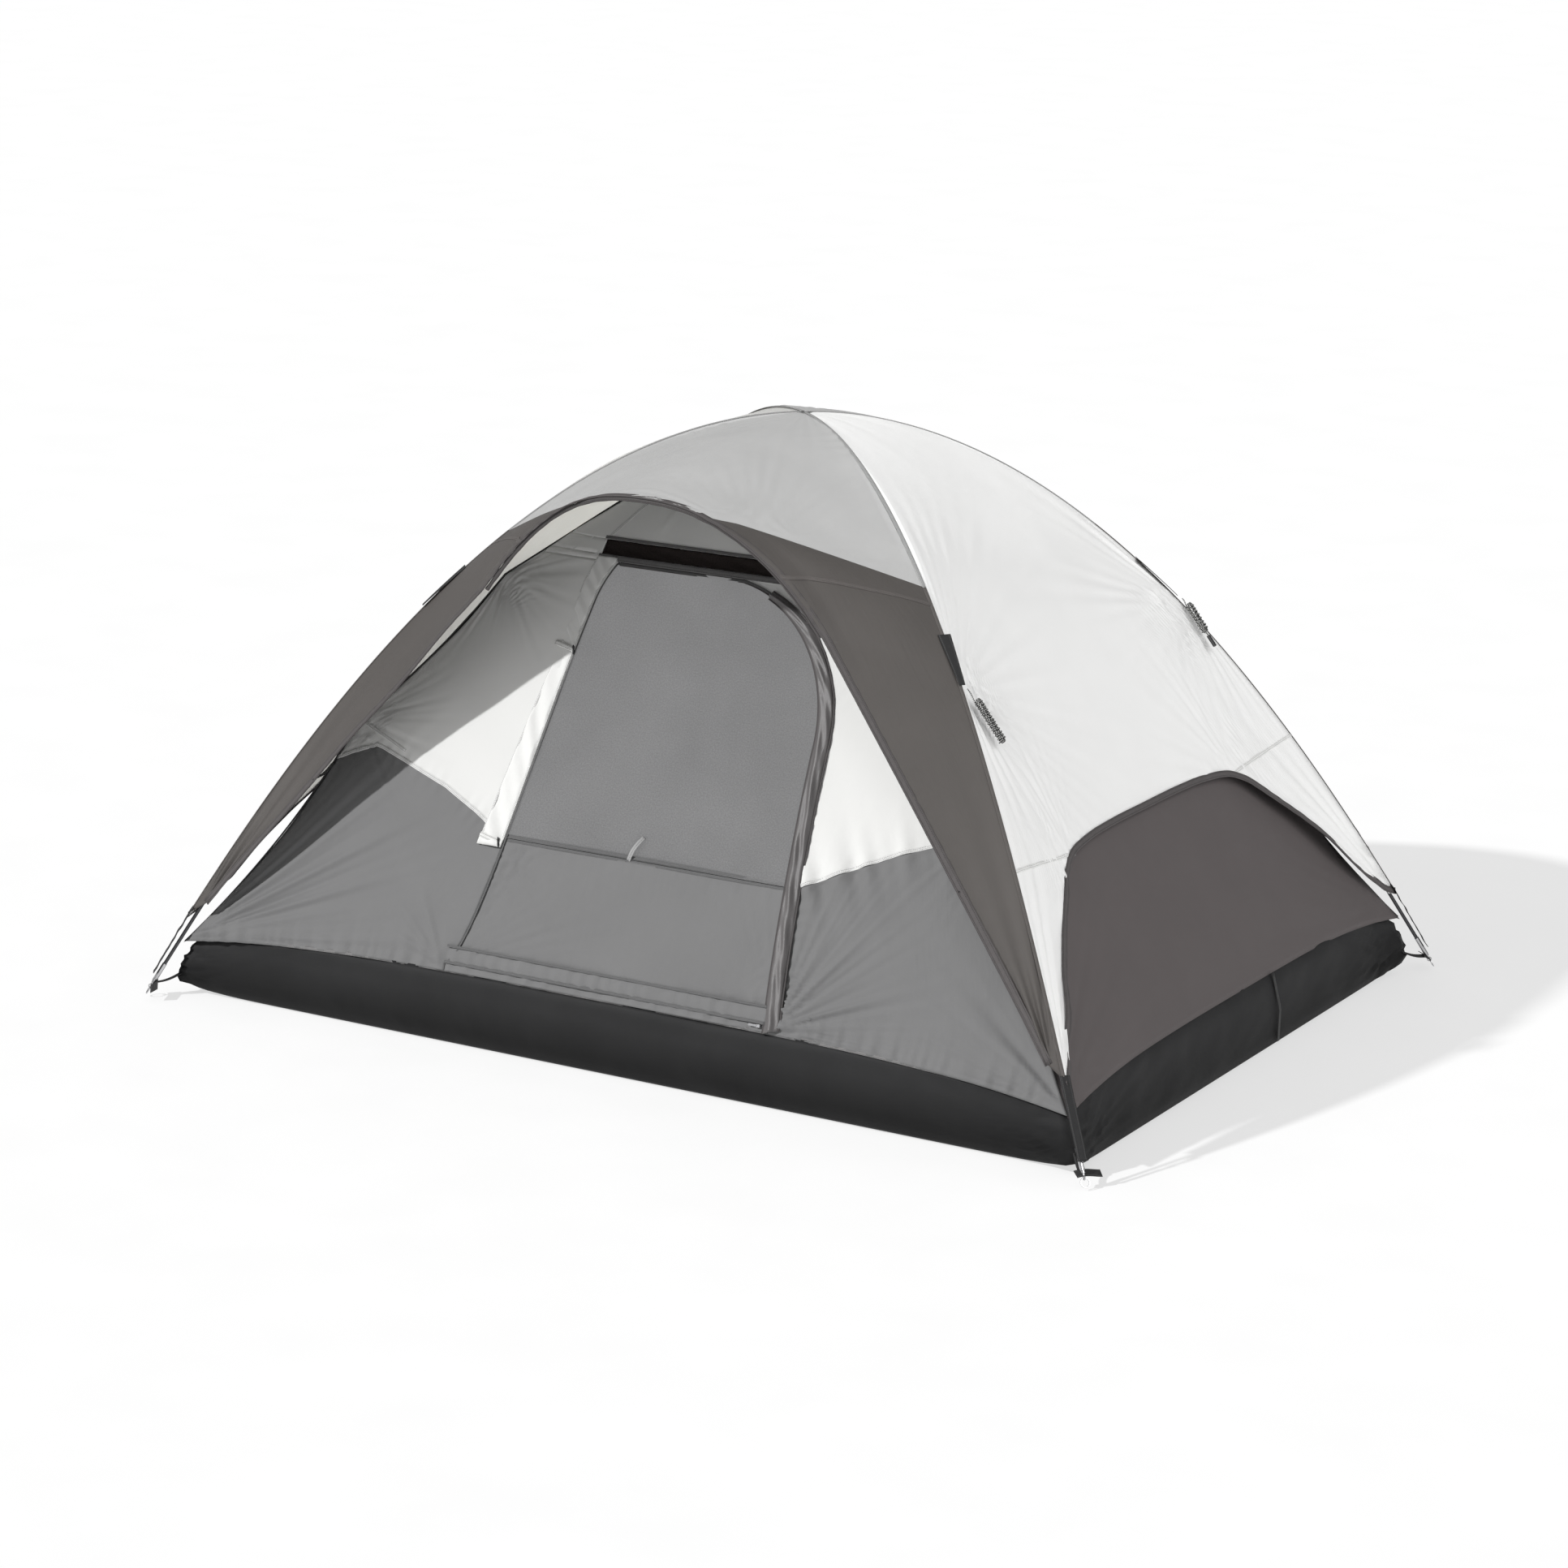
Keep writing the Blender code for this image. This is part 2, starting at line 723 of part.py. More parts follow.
# ---------------------------------------------------------------- pole clips
def build_clip(name, letter, s, reach):
    """Hook that snaps over the pole, with a short strap to the inner tent."""
    sign, height = POLES[letter]
    p = pole_point(s, sign, height)
    n = pole_normal(s, sign, height)
    t = pole_tangent(s, sign, height)
    b = pole_side(sign)
    r_in, r_out = POLE_R + 0.0016, POLE_R + 0.0036
    outline = []
    steps = 12
    start = math.radians(42)
    sweep = 2 * math.pi - 2 * start
    for k in range(steps + 1):
        a = start + sweep * k / steps
        outline.append((math.cos(a) * r_in, math.sin(a) * r_in))
    outer = []
    for k in range(steps + 1):
        a = start + sweep * k / steps
        outer.append((math.cos(a) * r_out, math.sin(a) * r_out))
    # the strap leaves at the side that looks inwards (angle 180 degrees)
    strap = []
    for c, sn in reversed(outer):
        strap.append((c, sn))
    mid = len(strap) // 2
    half = 0.0014
    strap[mid:mid + 1] = [(-r_out * 0.98, -half), (-reach, -half),
                          (-reach, half), (-r_out * 0.98, half)]
    loop = outline + strap
    # flat outline, extruded along the pole
    cu = bpy.data.curves.new(name, "CURVE")
    cu.dimensions = "2D"
    cu.fill_mode = "BOTH"
    cu.extrude = 0.009
    sp = cu.splines.new("POLY")
    sp.points.add(len(loop) - 1)
    for pt, (x, y) in zip(sp.points, loop):
        pt.co = (x, y, 0.0, 1.0)
    sp.use_cyclic_u = True
    ob = bpy.data.objects.new(name, cu)
    tent.objects.link(ob)
    z = t
    x = (n - z * n.dot(z)).normalized()
    y = z.cross(x).normalized()
    m = Matrix((x, y, z)).transposed().to_4x4()
    m.translation = p
    ob.matrix_world = m
    cu.materials.append(own_material(name, "plastic"))
    return ob


CLIP_S = (0.480, 0.702)
for corner, (sx, sy, letter, end) in CORNERS.items():
    for label, s in zip(("upper", "lower"), CLIP_S):
        reach = 0.048 if label == "upper" else 0.056
        build_clip("clip_%s_%s" % (corner, label), letter, s * end, reach)
build_clip("clip_apex", "b", 0.052, 0.036)


# ---------------------------------------------------------------- rainfly
def fly_edge(s, sign, end):
    """Where the fly crosses a pole line, outside the pole by FLY_OFF."""
    k = s * end
    p = pole_point(k, sign, POLE_H)
    return p + pole_normal(k, sign, POLE_H) * FLY_OFF


def pole_s(z):
    return math.sqrt(max(0.0, 1.0 - (z / POLE_H) ** (1.0 / POLE_POW)))


def fly_half(s):
    """Half length, half width and height of the fly on the pole lines."""
    e = fly_edge(s, 1, 1)
    return e.x, e.y, e.z


PANEL_GAP = 0.0016       # clear of the corner line on each side
SIDE_TOP_S = pole_s(0.615)
SIDE_SAG = 0.046         # the side panel's pull-in between the poles


def side_hem_half(z):
    """Half width of the side opening at height z, below the arch."""
    f = (0.618 - z) / (0.618 - HEM_Z)
    f = max(0.0, min(1.0, f))
    w = 0.470 + 0.115 * (1.0 - (1.0 - min(1.0, f / 0.14)) ** 2.0)
    return w + (0.944 - 0.585) * max(0.0, (f - 0.08) / 0.92) ** 1.0


def build_side_panel(name, sign):
    ss = [0.006, 0.10, 0.20, 0.30, 0.40, 0.50, 0.60, 0.68, SIDE_TOP_S - 0.02]
    full_rows = len(ss)
    z_last = pole_z(ss[-1], POLE_H)
    zs = [0.618, 0.600, 0.560, 0.50, 0.42, 0.34, 0.27, HEM_Z + 0.012]
    ss += [pole_s(z) for z in zs]
    fr = (0.0, 0.25, 0.50, 0.75, 1.0)

    def place(i, j):
        s = ss[j]
        hx, hy, hz = fly_half(s)
        hy -= PANEL_GAP
        z = hz
        if j < full_rows:
            cut = hy * 0.62
        else:
            cut = min(side_hem_half(pole_z(s, POLE_H)), hy - 0.004)
        cols = [-hy, -(hy + cut) / 2, -cut, -cut * 0.5, 0.0, cut * 0.5, cut,
                (hy + cut) / 2, hy]
        y = cols[i]
        sag = SIDE_SAG * smooth01((s - 0.15) / 0.6) * (1.0 - (y / hy) ** 2)
        return Vector((sign * (hx - sag), y, z))

    def keep(i, j):
        return j < full_rows or i < 2 or i > 5

    return sheet(name, 8, len(ss) - 1, place, "white_cloth", keep=keep)


build_side_panel("fly_left_panel", -1)
build_side_panel("fly_right_panel", 1)

# brow of the front and rear panels: the hem stands forward of the poles
BROW_Y, BROW_Z = 0.807, 1.462    # top of the arch, on the centre line
BOW_X, BOW_Y, BOW_Z = 0.500, 0.752, 1.160   # where the arch meets the legs
LEG_X, LEG_Y, LEG_Z = 1.268, 0.962, 0.235   # foot of the straight legs
ARCH_POW = 2.25                  # how square the shoulders of the arch are
REAR_ARCH = (1.290, 1.130, 2.69)  # top, shoulders and power at the rear


def hem_point(h):
    """Right half of the hem: 0 at the top centre, 1 where the leg begins,
    2 at the foot."""
    if h <= 1.0:
        a = h * math.pi / 2.0
        # upright arch that leaves the centre level and ends along the leg
        x = BOW_X * math.sin(a) ** 0.86 if h > 0 else 0.0
        z = BOW_Z + (BROW_Z - BOW_Z) * (1.0 - (x / BOW_X) ** ARCH_POW)
        y = BOW_Y + (BROW_Y - BOW_Y) * (1.0 - smooth01(x / BOW_X))
        return Vector((x, -y, z))
    f = h - 1.0
    return Vector((BOW_X + (LEG_X - BOW_X) * f,
                   -(BOW_Y + (LEG_Y - BOW_Y) * f),
                   BOW_Z + (LEG_Z - BOW_Z) * f))


def hem_h_at_x(x):
    lo, hi = 0.0, 1.0
    for _ in range(40):
        mid = (lo + hi) / 2
        if hem_point(mid).x < x:
            lo = mid
        else:
            hi = mid
    return (lo + hi) / 2


CREASE_X = 0.150
H_CREASE = hem_h_at_x(CREASE_X)


def row_shape(w):
    """0 on the centre line, 1 at the pole; level across the middle."""
    w = abs(w)
    return w * w * 1.5 / (w + 0.5)


def brow_upper(s, w):
    """Front panel between the apex and the cross crease, w from -1 to 1."""
    e = fly_edge(s, -1, 1)          # right front pole line
    f = s / SEAM_S
    top = fly_edge(0.0, 1, 1)
    cy = -BROW_Y * f
    cz = top.z + (BROW_Z - top.z) * f ** 1.5
    x = w * (e.x - PANEL_GAP)
    q = row_shape(w)
    y = cy + ((e.y - PANEL_GAP) - cy) * q
    z = cz + (e.z - cz) * q
    p = Vector((x, y, z))
    # the last row runs on to the hem in the middle
    near = smooth01((f - 0.55) / 0.45)
    if abs(x) <= CREASE_X * 1.6 and near > 0:
        h = hem_h_at_x(min(abs(x), BOW_X * 0.999))
        target = hem_point(h)
        k = near * (1.0 - smooth01((abs(x) - CREASE_X) / (0.6 * CREASE_X)))
        p.y += (target.y - p.y) * k * (f ** 3)
        p.z += (target.z - p.z) * k * (f ** 3)
    return p


W_LEG = None


def build_brow_panel(name, flip):
    """Front panel; the rear one is turned about the middle and lies lower."""
    w_c = CREASE_X / (fly_edge(SEAM_S, -1, 1).x - PANEL_GAP)
    ws_r = [w_c, w_c + (1 - w_c) * 0.25, w_c + (1 - w_c) * 0.5,
            w_c + (1 - w_c) * 0.75, 1.0]
    ws = [-v for v in reversed(ws_r)] + [-w_c * 0.5, 0.0, w_c * 0.5] + ws_r
    ss = [0.006, 0.07, 0.14, 0.21, 0.28, 0.34, 0.39, SEAM_S]
    upper_rows = len(ss)
    # (share of the way down the pole line, place on the hem)
    legs = [(0.04 * k, H_CREASE + (1.0 - H_CREASE) * k / 6.0)
            for k in range(1, 7)]
    legs += [(0.24 + 0.73 * k / 5.0, 1.0 + 0.97 * k / 5.0)
             for k in range(1, 6)]
    nu = len(ws) - 1

    def leg_point(f, h, v):
        """f 0..1 down the leg, v 0 at the hem and 1 at the pole line."""
        s = SEAM_S + (pole_s(HEM_Z + 0.012) - SEAM_S) * f
        e = fly_edge(s, -1, 1)
        e = Vector((e.x - PANEL_GAP, e.y - PANEL_GAP * 0.4, e.z))
        a = hem_point(h)
        p = a + (e - a) * v
        # the crease's bulge dies away down the leg
        w = w_c + (1 - w_c) * v
        first = brow_upper(SEAM_S, w)
        straight = (brow_upper(SEAM_S, w_c)
                    + (brow_upper(SEAM_S, 1.0) - brow_upper(SEAM_S, w_c)) * v)
        bulge = first - straight
        return p + bulge * (1.0 - smooth01(f / 0.35))

    def place(i, j):
        w = ws[i]
        if j < upper_rows:
            p = brow_upper(ss[j], w)
        else:
            side = 1.0 if w > 0 else -1.0
            k = i - (nu - 4) if w > 0 else 4 - i
            v = k / 4.0
            q = leg_point(*legs[j - upper_rows], v)
            p = Vector((q.x * side, q.y, q.z))
        if flip:
            p = Vector((-p.x, -p.y, p.z))
        return p

    def keep(i, j):
        return j < upper_rows - 1 or i < 4 or i >= nu - 4

    return sheet(name, nu, upper_rows + len(legs) - 1, place, "grey_cloth",
                 keep=keep, inside=Vector((0, 0, 0.5)))


build_brow_panel("fly_front_panel", False)


def build_brow_pole(name, flip):
    """Short bow in the hem that holds the brow up and forward."""
    cu = bpy.data.curves.new(name, "CURVE")
    cu.dimensions = "3D"
    cu.bevel_depth = 0.0035
    cu.bevel_resolution = 2
    cu.use_fill_caps = True
    pts = []
    n = 24
    for k in range(-n // 2, n // 2 + 1):
        h = 0.985 * abs(k) / (n // 2)
        side = 1.0 if k > 0 else -1.0
        p = hem_point(h)
        d = hem_point(min(h + 0.004, 1.0)) - hem_point(max(h - 0.004, 0.0))
        inward = Vector((d.z, 0.0, -d.x)).normalized()
        q = p + inward * 0.0095 + Vector((0.0, 0.005, 0.0))
        q = Vector((side * max(q.x, 0.0), q.y, q.z))
        if flip:
            q = Vector((-q.x, -q.y, q.z))
        pts.append(q)
    sp = cu.splines.new("POLY")
    sp.points.add(len(pts) - 1)
    for a, b in zip(sp.points, pts):
        a.co = (*b, 1.0)
    ob = bpy.data.objects.new(name, cu)
    tent.objects.link(ob)
    cu.materials.append(own_material(name, "fibreglass"))
    return ob


build_brow_pole("front_brow_pole", False)

# the rear brow hangs lower than the front one
FRONT_ARCH = (BROW_Z, BOW_Z, ARCH_POW)
BROW_Z, BOW_Z, ARCH_POW = REAR_ARCH
build_brow_panel("fly_rear_panel", True)
build_brow_pole("rear_brow_pole", True)
BROW_Z, BOW_Z, ARCH_POW = FRONT_ARCH


# straps from the fly's four feet down to the corner pins
def build_strap(corner):
    sx, sy, letter, end = CORNERS[corner]
    sign = 1 if letter == "a" else -1
    s0 = pole_s(HEM_Z - 0.006)
    s1 = 0.976
    n = 5
    rows = []
    for k in range(n + 1):
        s = (s0 + (s1 - s0) * k / n) * end
        p = pole_point(s, sign, POLE_H)
        nn = pole_normal(s, sign, POLE_H)
        off = FLY_OFF + 0.001 - 0.003 * k / n
        rows.append(p + nn * off)
    side = pole_side(sign)

    def place(i, j):
        return rows[j] + side * (0.010 * (2 * i - 1))

    return sheet("fly_strap_" + corner, 1, n, place, "webbing", thick=0.0016,
                 inside=Vector((0, 0, -0.6)))


for corner in CORNERS:
    build_strap(corner)


# guy tabs on the pole lines, part way down
def build_guy_tab(corner):
    sx, sy, letter, end = CORNERS[corner]
    sign = 1 if letter == "a" else -1
    ss = (0.516, 0.532, 0.548, 0.562)
    wide = (0.016, 0.015, 0.012, 0.007)
    lift = (0.0030, 0.0050, 0.0065, 0.0070)
    side = pole_side(sign)
    rows = []
    for s in ss:
        k = s * end
        rows.append((pole_point(k, sign, POLE_H), pole_normal(k, sign, POLE_H)))

    def place(i, j):
        p, nn = rows[j]
        return (p + nn * (FLY_OFF + lift[j])
                + side * (wide[j] * (2 * i - 1)))

    return sheet("guy_tab_" + corner, 1, 3, place, "webbing", thick=0.0014,
                 inside=Vector((0, 0, 0.3)))


for corner in CORNERS:
    build_guy_tab(corner)


# guyline hanks hanging from the two tabs on the right side
def side_slope(z):
    """Direction down the right side panel at height z, and its outward normal."""
    s = pole_s(z)
    a = fly_half(s)
    b = fly_half(s + 0.004)
    d = Vector((b[0] - a[0], 0.0, b[2] - a[2])).normalized()
    return d, Vector((-d.z, 0.0, d.x))


def hank_frame(front):
    """Exit at the tab, direction down the panel, outward normal, across."""
    sy = -1 if front else 1
    sign = -1 if front else 1
    s = 0.566
    p = pole_point(s, sign, POLE_H)
    nn = pole_normal(s, sign, POLE_H)
    exit_ = p + nn * (FLY_OFF + 0.007)
    exit_ += pole_side(sign) * (0.004 * (1 if sign < 0 else -1))
    d, n = side_slope(exit_.z)
    exit_ = exit_ + n * 0.002 + d * 0.004
    return exit_, d, n, Vector((0, 1, 0))


def build_hank(name, front, length, width, depth):
    """Wound-up cord: a long outline with round ends, extruded."""
    exit_, d, n, across = hank_frame(front)
    r = width / 2.0
    pts = []
    m = 6
    for k in range(m + 1):
        a = math.pi / 2 + math.pi * k / m
        pts.append((r + math.cos(a) * r * 0.98, math.sin(a) * r))
    for k in range(m + 1):
        a = -math.pi / 2 + math.pi * k / m
        pts.append((length - r + math.cos(a) * r * 0.98, math.sin(a) * r))
    cu = bpy.data.curves.new(name, "CURVE")
    cu.dimensions = "2D"
    cu.fill_mode = "BOTH"
    cu.extrude = depth / 2.0
    sp = cu.splines.new("POLY")
    sp.points.add(len(pts) - 1)
    for pt, (x, y) in zip(sp.points, pts):
        pt.co = (x, y, 0.0, 1.0)
    sp.use_cyclic_u = True
    ob = bpy.data.objects.new(name, cu)
    tent.objects.link(ob)
    x = d
    z = n
    y = z.cross(x).normalized()
    mat = Matrix((x, y, z)).transposed().to_4x4()
    mat.translation = exit_ + n * (depth / 2.0 + 0.001) + d * 0.001
    ob.matrix_world = mat
    cu.materials.append(own_material(name, "cord"))
    return exit_, d, n


build_hank("guyline_front", True, 0.160, 0.026, 0.016)
ex, dd, nn = build_hank("guyline_rear", False, 0.118, 0.034, 0.016)

# line tensioner at the end of the rear guyline
lok_a = ex + nn * 0.009 + dd * 0.1205
lok = box_between("line_tensioner", lok_a, lok_a + dd * 0.034, 0.013, 0.006,
                  nn, "plastic", bevel=0.0012)

print("pole lengths %.3f %.3f" % (total_a, total_b))
slide_a = front_point(door_right(0.262) + 0.0075, 0.262, 0.0040)
slide_b = front_point(door_right(0.500) + 0.0075, 0.500, 0.0060)
print("slide_side_axis", tuple(round(v, 5) for v in (slide_b - slide_a).normalized()),
      "length", round((slide_b - slide_a).length, 4))
hinge_a = front_point(door_left(DOOR_BOTTOM), DOOR_BOTTOM)
hinge_b = front_point(door_left(DOOR_TOP), DOOR_TOP)
hinge_m = front_point(straight(door_left, 0.68), 0.68, 0.001)
print("door_axis", tuple(round(v, 5) for v in (hinge_b - hinge_a).normalized()),
      "pos", tuple(round(v, 5) for v in hinge_m))
print("exit front", tuple(round(v, 4) for v in hank_frame(True)[0]),
      "rear", tuple(round(v, 4) for v in hank_frame(False)[0]))
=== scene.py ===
"""Looks of the dome tent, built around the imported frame."""
import json
import math
import numpy as np
import bpy
import bmesh
from mathutils import Vector, Matrix

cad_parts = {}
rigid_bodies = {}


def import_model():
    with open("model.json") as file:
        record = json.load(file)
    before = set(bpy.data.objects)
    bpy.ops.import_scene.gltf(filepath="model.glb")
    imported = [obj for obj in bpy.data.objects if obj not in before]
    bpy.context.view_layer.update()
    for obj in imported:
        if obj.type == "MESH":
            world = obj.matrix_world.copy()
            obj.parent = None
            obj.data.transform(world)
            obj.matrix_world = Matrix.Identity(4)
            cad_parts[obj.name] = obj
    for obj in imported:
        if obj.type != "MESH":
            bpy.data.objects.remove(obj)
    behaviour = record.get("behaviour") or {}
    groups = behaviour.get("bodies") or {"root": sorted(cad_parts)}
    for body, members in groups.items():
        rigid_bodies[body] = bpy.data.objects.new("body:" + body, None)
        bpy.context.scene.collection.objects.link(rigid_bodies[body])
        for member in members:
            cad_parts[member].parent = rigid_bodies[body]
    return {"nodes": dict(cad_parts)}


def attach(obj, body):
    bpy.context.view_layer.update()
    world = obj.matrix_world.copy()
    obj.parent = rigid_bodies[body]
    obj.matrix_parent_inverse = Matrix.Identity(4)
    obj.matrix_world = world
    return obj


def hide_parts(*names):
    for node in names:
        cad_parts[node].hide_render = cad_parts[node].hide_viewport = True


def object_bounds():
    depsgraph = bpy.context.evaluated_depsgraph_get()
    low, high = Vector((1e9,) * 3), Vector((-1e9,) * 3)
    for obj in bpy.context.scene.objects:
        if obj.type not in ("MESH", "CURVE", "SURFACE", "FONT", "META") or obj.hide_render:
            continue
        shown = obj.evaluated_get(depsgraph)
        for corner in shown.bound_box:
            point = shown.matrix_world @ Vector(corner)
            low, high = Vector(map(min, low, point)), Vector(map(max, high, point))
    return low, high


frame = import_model()
CAD_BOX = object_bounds()
scene = bpy.context.scene
TAU = 2.0 * math.pi

# ------------------------------------------------------------------ dimensions
HL, HW = 1.40, 1.037
PH, PSTEP, PP = 1.536, 0.013, 1.04
POLE_R = 0.00475
S_TIP = 0.984
FLY_OFF = 0.016
HEM_Z = 0.215
INNER_H, INSET = 1.472, 0.07
TUB_TOP = 0.200
DOOR_BOTTOM, DOOR_SEAM, DOOR_TOP = 0.222, 0.530, 1.192
VENT_BOTTOM, VENT_TOP, VENT_HALF = 1.206, 1.240, 0.365
ARCH_FOOT = 0.84
SEAM_S = 0.436
BROW_Y, BROW_Z = 0.807, 1.462
BOW_X, BOW_Y, BOW_Z = 0.500, 0.752, 1.160
LEG_X, LEG_Y, LEG_Z = 1.268, 0.962, 0.235
CREASE_X = 0.150
CLIP_Z = (0.748, 1.132)

ROOT, FLY, DOOR = "tent_body", "rainfly", "door"


# ------------------------------------------------------------------ node helpers
def new_mat(name):
    m = bpy.data.materials.new(name)
    m.use_nodes = True
    nt = m.node_tree
    b = nt.nodes["Principled BSDF"]
    out = nt.nodes["Material Output"]
    return m, nt, b, out


def node(nt, kind, **props):
    n = nt.nodes.new(kind)
    for k, v in props.items():
        setattr(n, k, v)
    return n


def uv_metres(nt):
    return node(nt, "ShaderNodeTexCoord").outputs["UV"]


def obj_coords(nt):
    return node(nt, "ShaderNodeTexCoord").outputs["Object"]


def math_node(nt, op, a, b=None, clamp=False):
    n = node(nt, "ShaderNodeMath", operation=op, use_clamp=clamp)
    for k, v in enumerate((a, b)):
        if v is None:
            continue
        if isinstance(v, (int, float)):
            n.inputs[k].default_value = v
        else:
            nt.links.new(v, n.inputs[k])
    return n.outputs[0]


def noise(nt, vec, scale, detail=3.0, rough=0.55):
    n = node(nt, "ShaderNodeTexNoise")
    n.inputs["Scale"].default_value = scale
    n.inputs["Detail"].default_value = detail
    n.inputs["Roughness"].default_value = rough
    nt.links.new(vec, n.inputs["Vector"])
    return n.outputs["Fac"]


def stretched(nt, vec, sx, sy, sz, rot=0.0):
    n = node(nt, "ShaderNodeMapping")
    n.inputs["Scale"].default_value = (sx, sy, sz)
    n.inputs["Rotation"].default_value = (0, 0, rot)
    nt.links.new(vec, n.inputs["Vector"])
    return n.outputs["Vector"]


def ramp(nt, fac, stops):
    n = node(nt, "ShaderNodeValToRGB")
    cr = n.color_ramp
    while len(cr.elements) > len(stops):
        cr.elements.remove(cr.elements[-1])
    while len(cr.elements) < len(stops):
        cr.elements.new(0.5)
    for e, (p, c) in zip(cr.elements, stops):
        e.position = p
        e.color = (*c, 1.0) if len(c) == 3 else c
    nt.links.new(fac, n.inputs["Fac"])
    return n.outputs["Color"]


def bump(nt, height, strength, distance, normal=None):
    n = node(nt, "ShaderNodeBump")
    n.inputs["Strength"].default_value = strength
    n.inputs["Distance"].default_value = distance
    nt.links.new(height, n.inputs["Height"])
    if normal is not None:
        nt.links.new(normal, n.inputs["Normal"])
    return n.outputs["Normal"]


def shade(c, k):
    return tuple(max(0.0, min(1.0, v * k)) for v in c)


def fabric(name, colour, rough=0.72, sheen=0.0, weave=0.0011, weave_bump=0.25,
           crinkle=0.35, crinkle_scale=9.0, spread=0.05, through=0.0,
           through_colour=None, streak=0.0, spec=0.3):
    """Woven polyester: fine plain weave, soft crinkles, slight unevenness.
    through is the share of light that passes through the cloth."""
    m, nt, b, out = new_mat(name)
    uv = uv_metres(nt)
    oc = obj_coords(nt)
    cloud = noise(nt, oc, 7.0, 4.0)
    fine = noise(nt, stretched(nt, uv, 900, 260, 1), 1.0, 2.0)
    tone = math_node(nt, "ADD", math_node(nt, "MULTIPLY", cloud, 0.6),
                     math_node(nt, "MULTIPLY", fine, 0.4))
    col = ramp(nt, tone, [(0.25, shade(colour, 1 - spread)),
                          (0.75, shade(colour, 1 + spread))])
    nt.links.new(col, b.inputs["Base Color"])
    b.inputs["Roughness"].default_value = rough
    b.inputs["Specular IOR Level"].default_value = spec
    if sheen:
        b.inputs["Sheen Weight"].default_value = sheen
        b.inputs["Sheen Roughness"].default_value = 0.45
    sep = node(nt, "ShaderNodeSeparateXYZ")
    nt.links.new(uv, sep.inputs[0])
    wx = math_node(nt, "SINE", math_node(nt, "MULTIPLY", sep.outputs[0], TAU / weave))
    wy = math_node(nt, "SINE", math_node(nt, "MULTIPLY", sep.outputs[1], TAU / weave))
    cross = math_node(nt, "MULTIPLY", wx, wy)
    n1 = bump(nt, cross, weave_bump, 0.00025)
    cr = noise(nt, oc, crinkle_scale, 5.0, 0.6)
    n2 = bump(nt, cr, crinkle, 0.006, n1)
    if streak:
        st = noise(nt, stretched(nt, uv, 55, 5, 1), 1.0, 3.0)
        n2 = bump(nt, st, streak, 0.004, n2)
    nt.links.new(n2, b.inputs["Normal"])
    if through > 0:
        tr = node(nt, "ShaderNodeBsdfTranslucent")
        tc = through_colour or colour
        tr.inputs["Color"].default_value = (*tc, 1)
        nt.links.new(n2, tr.inputs["Normal"])
        mix = node(nt, "ShaderNodeMixShader")
        mix.inputs[0].default_value = through
        nt.links.new(b.outputs[0], mix.inputs[1])
        nt.links.new(tr.outputs[0], mix.inputs[2])
        nt.links.new(mix.outputs[0], out.inputs["Surface"])
    return m


def netting(name, colour, hole, alpha, speck=0.25, through=0.0):
    """Fine insect netting: hexagon-like cells, uneven tone, partly open."""
    m, nt, b, out = new_mat(name)
    uv = uv_metres(nt)
    vor = node(nt, "ShaderNodeTexVoronoi", feature="DISTANCE_TO_EDGE")
    vor.inputs["Scale"].default_value = 1.0 / hole
    vor.inputs["Randomness"].default_value = 0.35
    nt.links.new(uv, vor.inputs["Vector"])
    fleck = noise(nt, uv, 260.0, 2.0, 0.7)
    cloud = noise(nt, obj_coords(nt), 5.0, 3.0)
    tone = math_node(nt, "ADD", math_node(nt, "MULTIPLY", fleck, 0.75),
                     math_node(nt, "MULTIPLY", cloud, 0.25))
    col = ramp(nt, tone, [(0.30, shade(colour, 1 - speck)),
                          (0.52, colour), (0.72, shade(colour, 1 + speck))])
    nt.links.new(col, b.inputs["Base Color"])
    b.inputs["Roughness"].default_value = 0.8
    b.inputs["Specular IOR Level"].default_value = 0.15
    b.inputs["Alpha"].default_value = alpha
    nrm = bump(nt, vor.outputs["Distance"], 0.25, 0.0006)
    nt.links.new(nrm, b.inputs["Normal"])
    if through > 0:
        tr = node(nt, "ShaderNodeBsdfTranslucent")
        tr.inputs["Color"].default_value = (*colour, 1)
        mix = node(nt, "ShaderNodeMixShader")
        mix.inputs[0].default_value = through
        nt.links.new(b.outputs[0], mix.inputs[1])
        nt.links.new(tr.outputs[0], mix.inputs[2])
        nt.links.new(mix.outputs[0], out.inputs["Surface"])
    return m


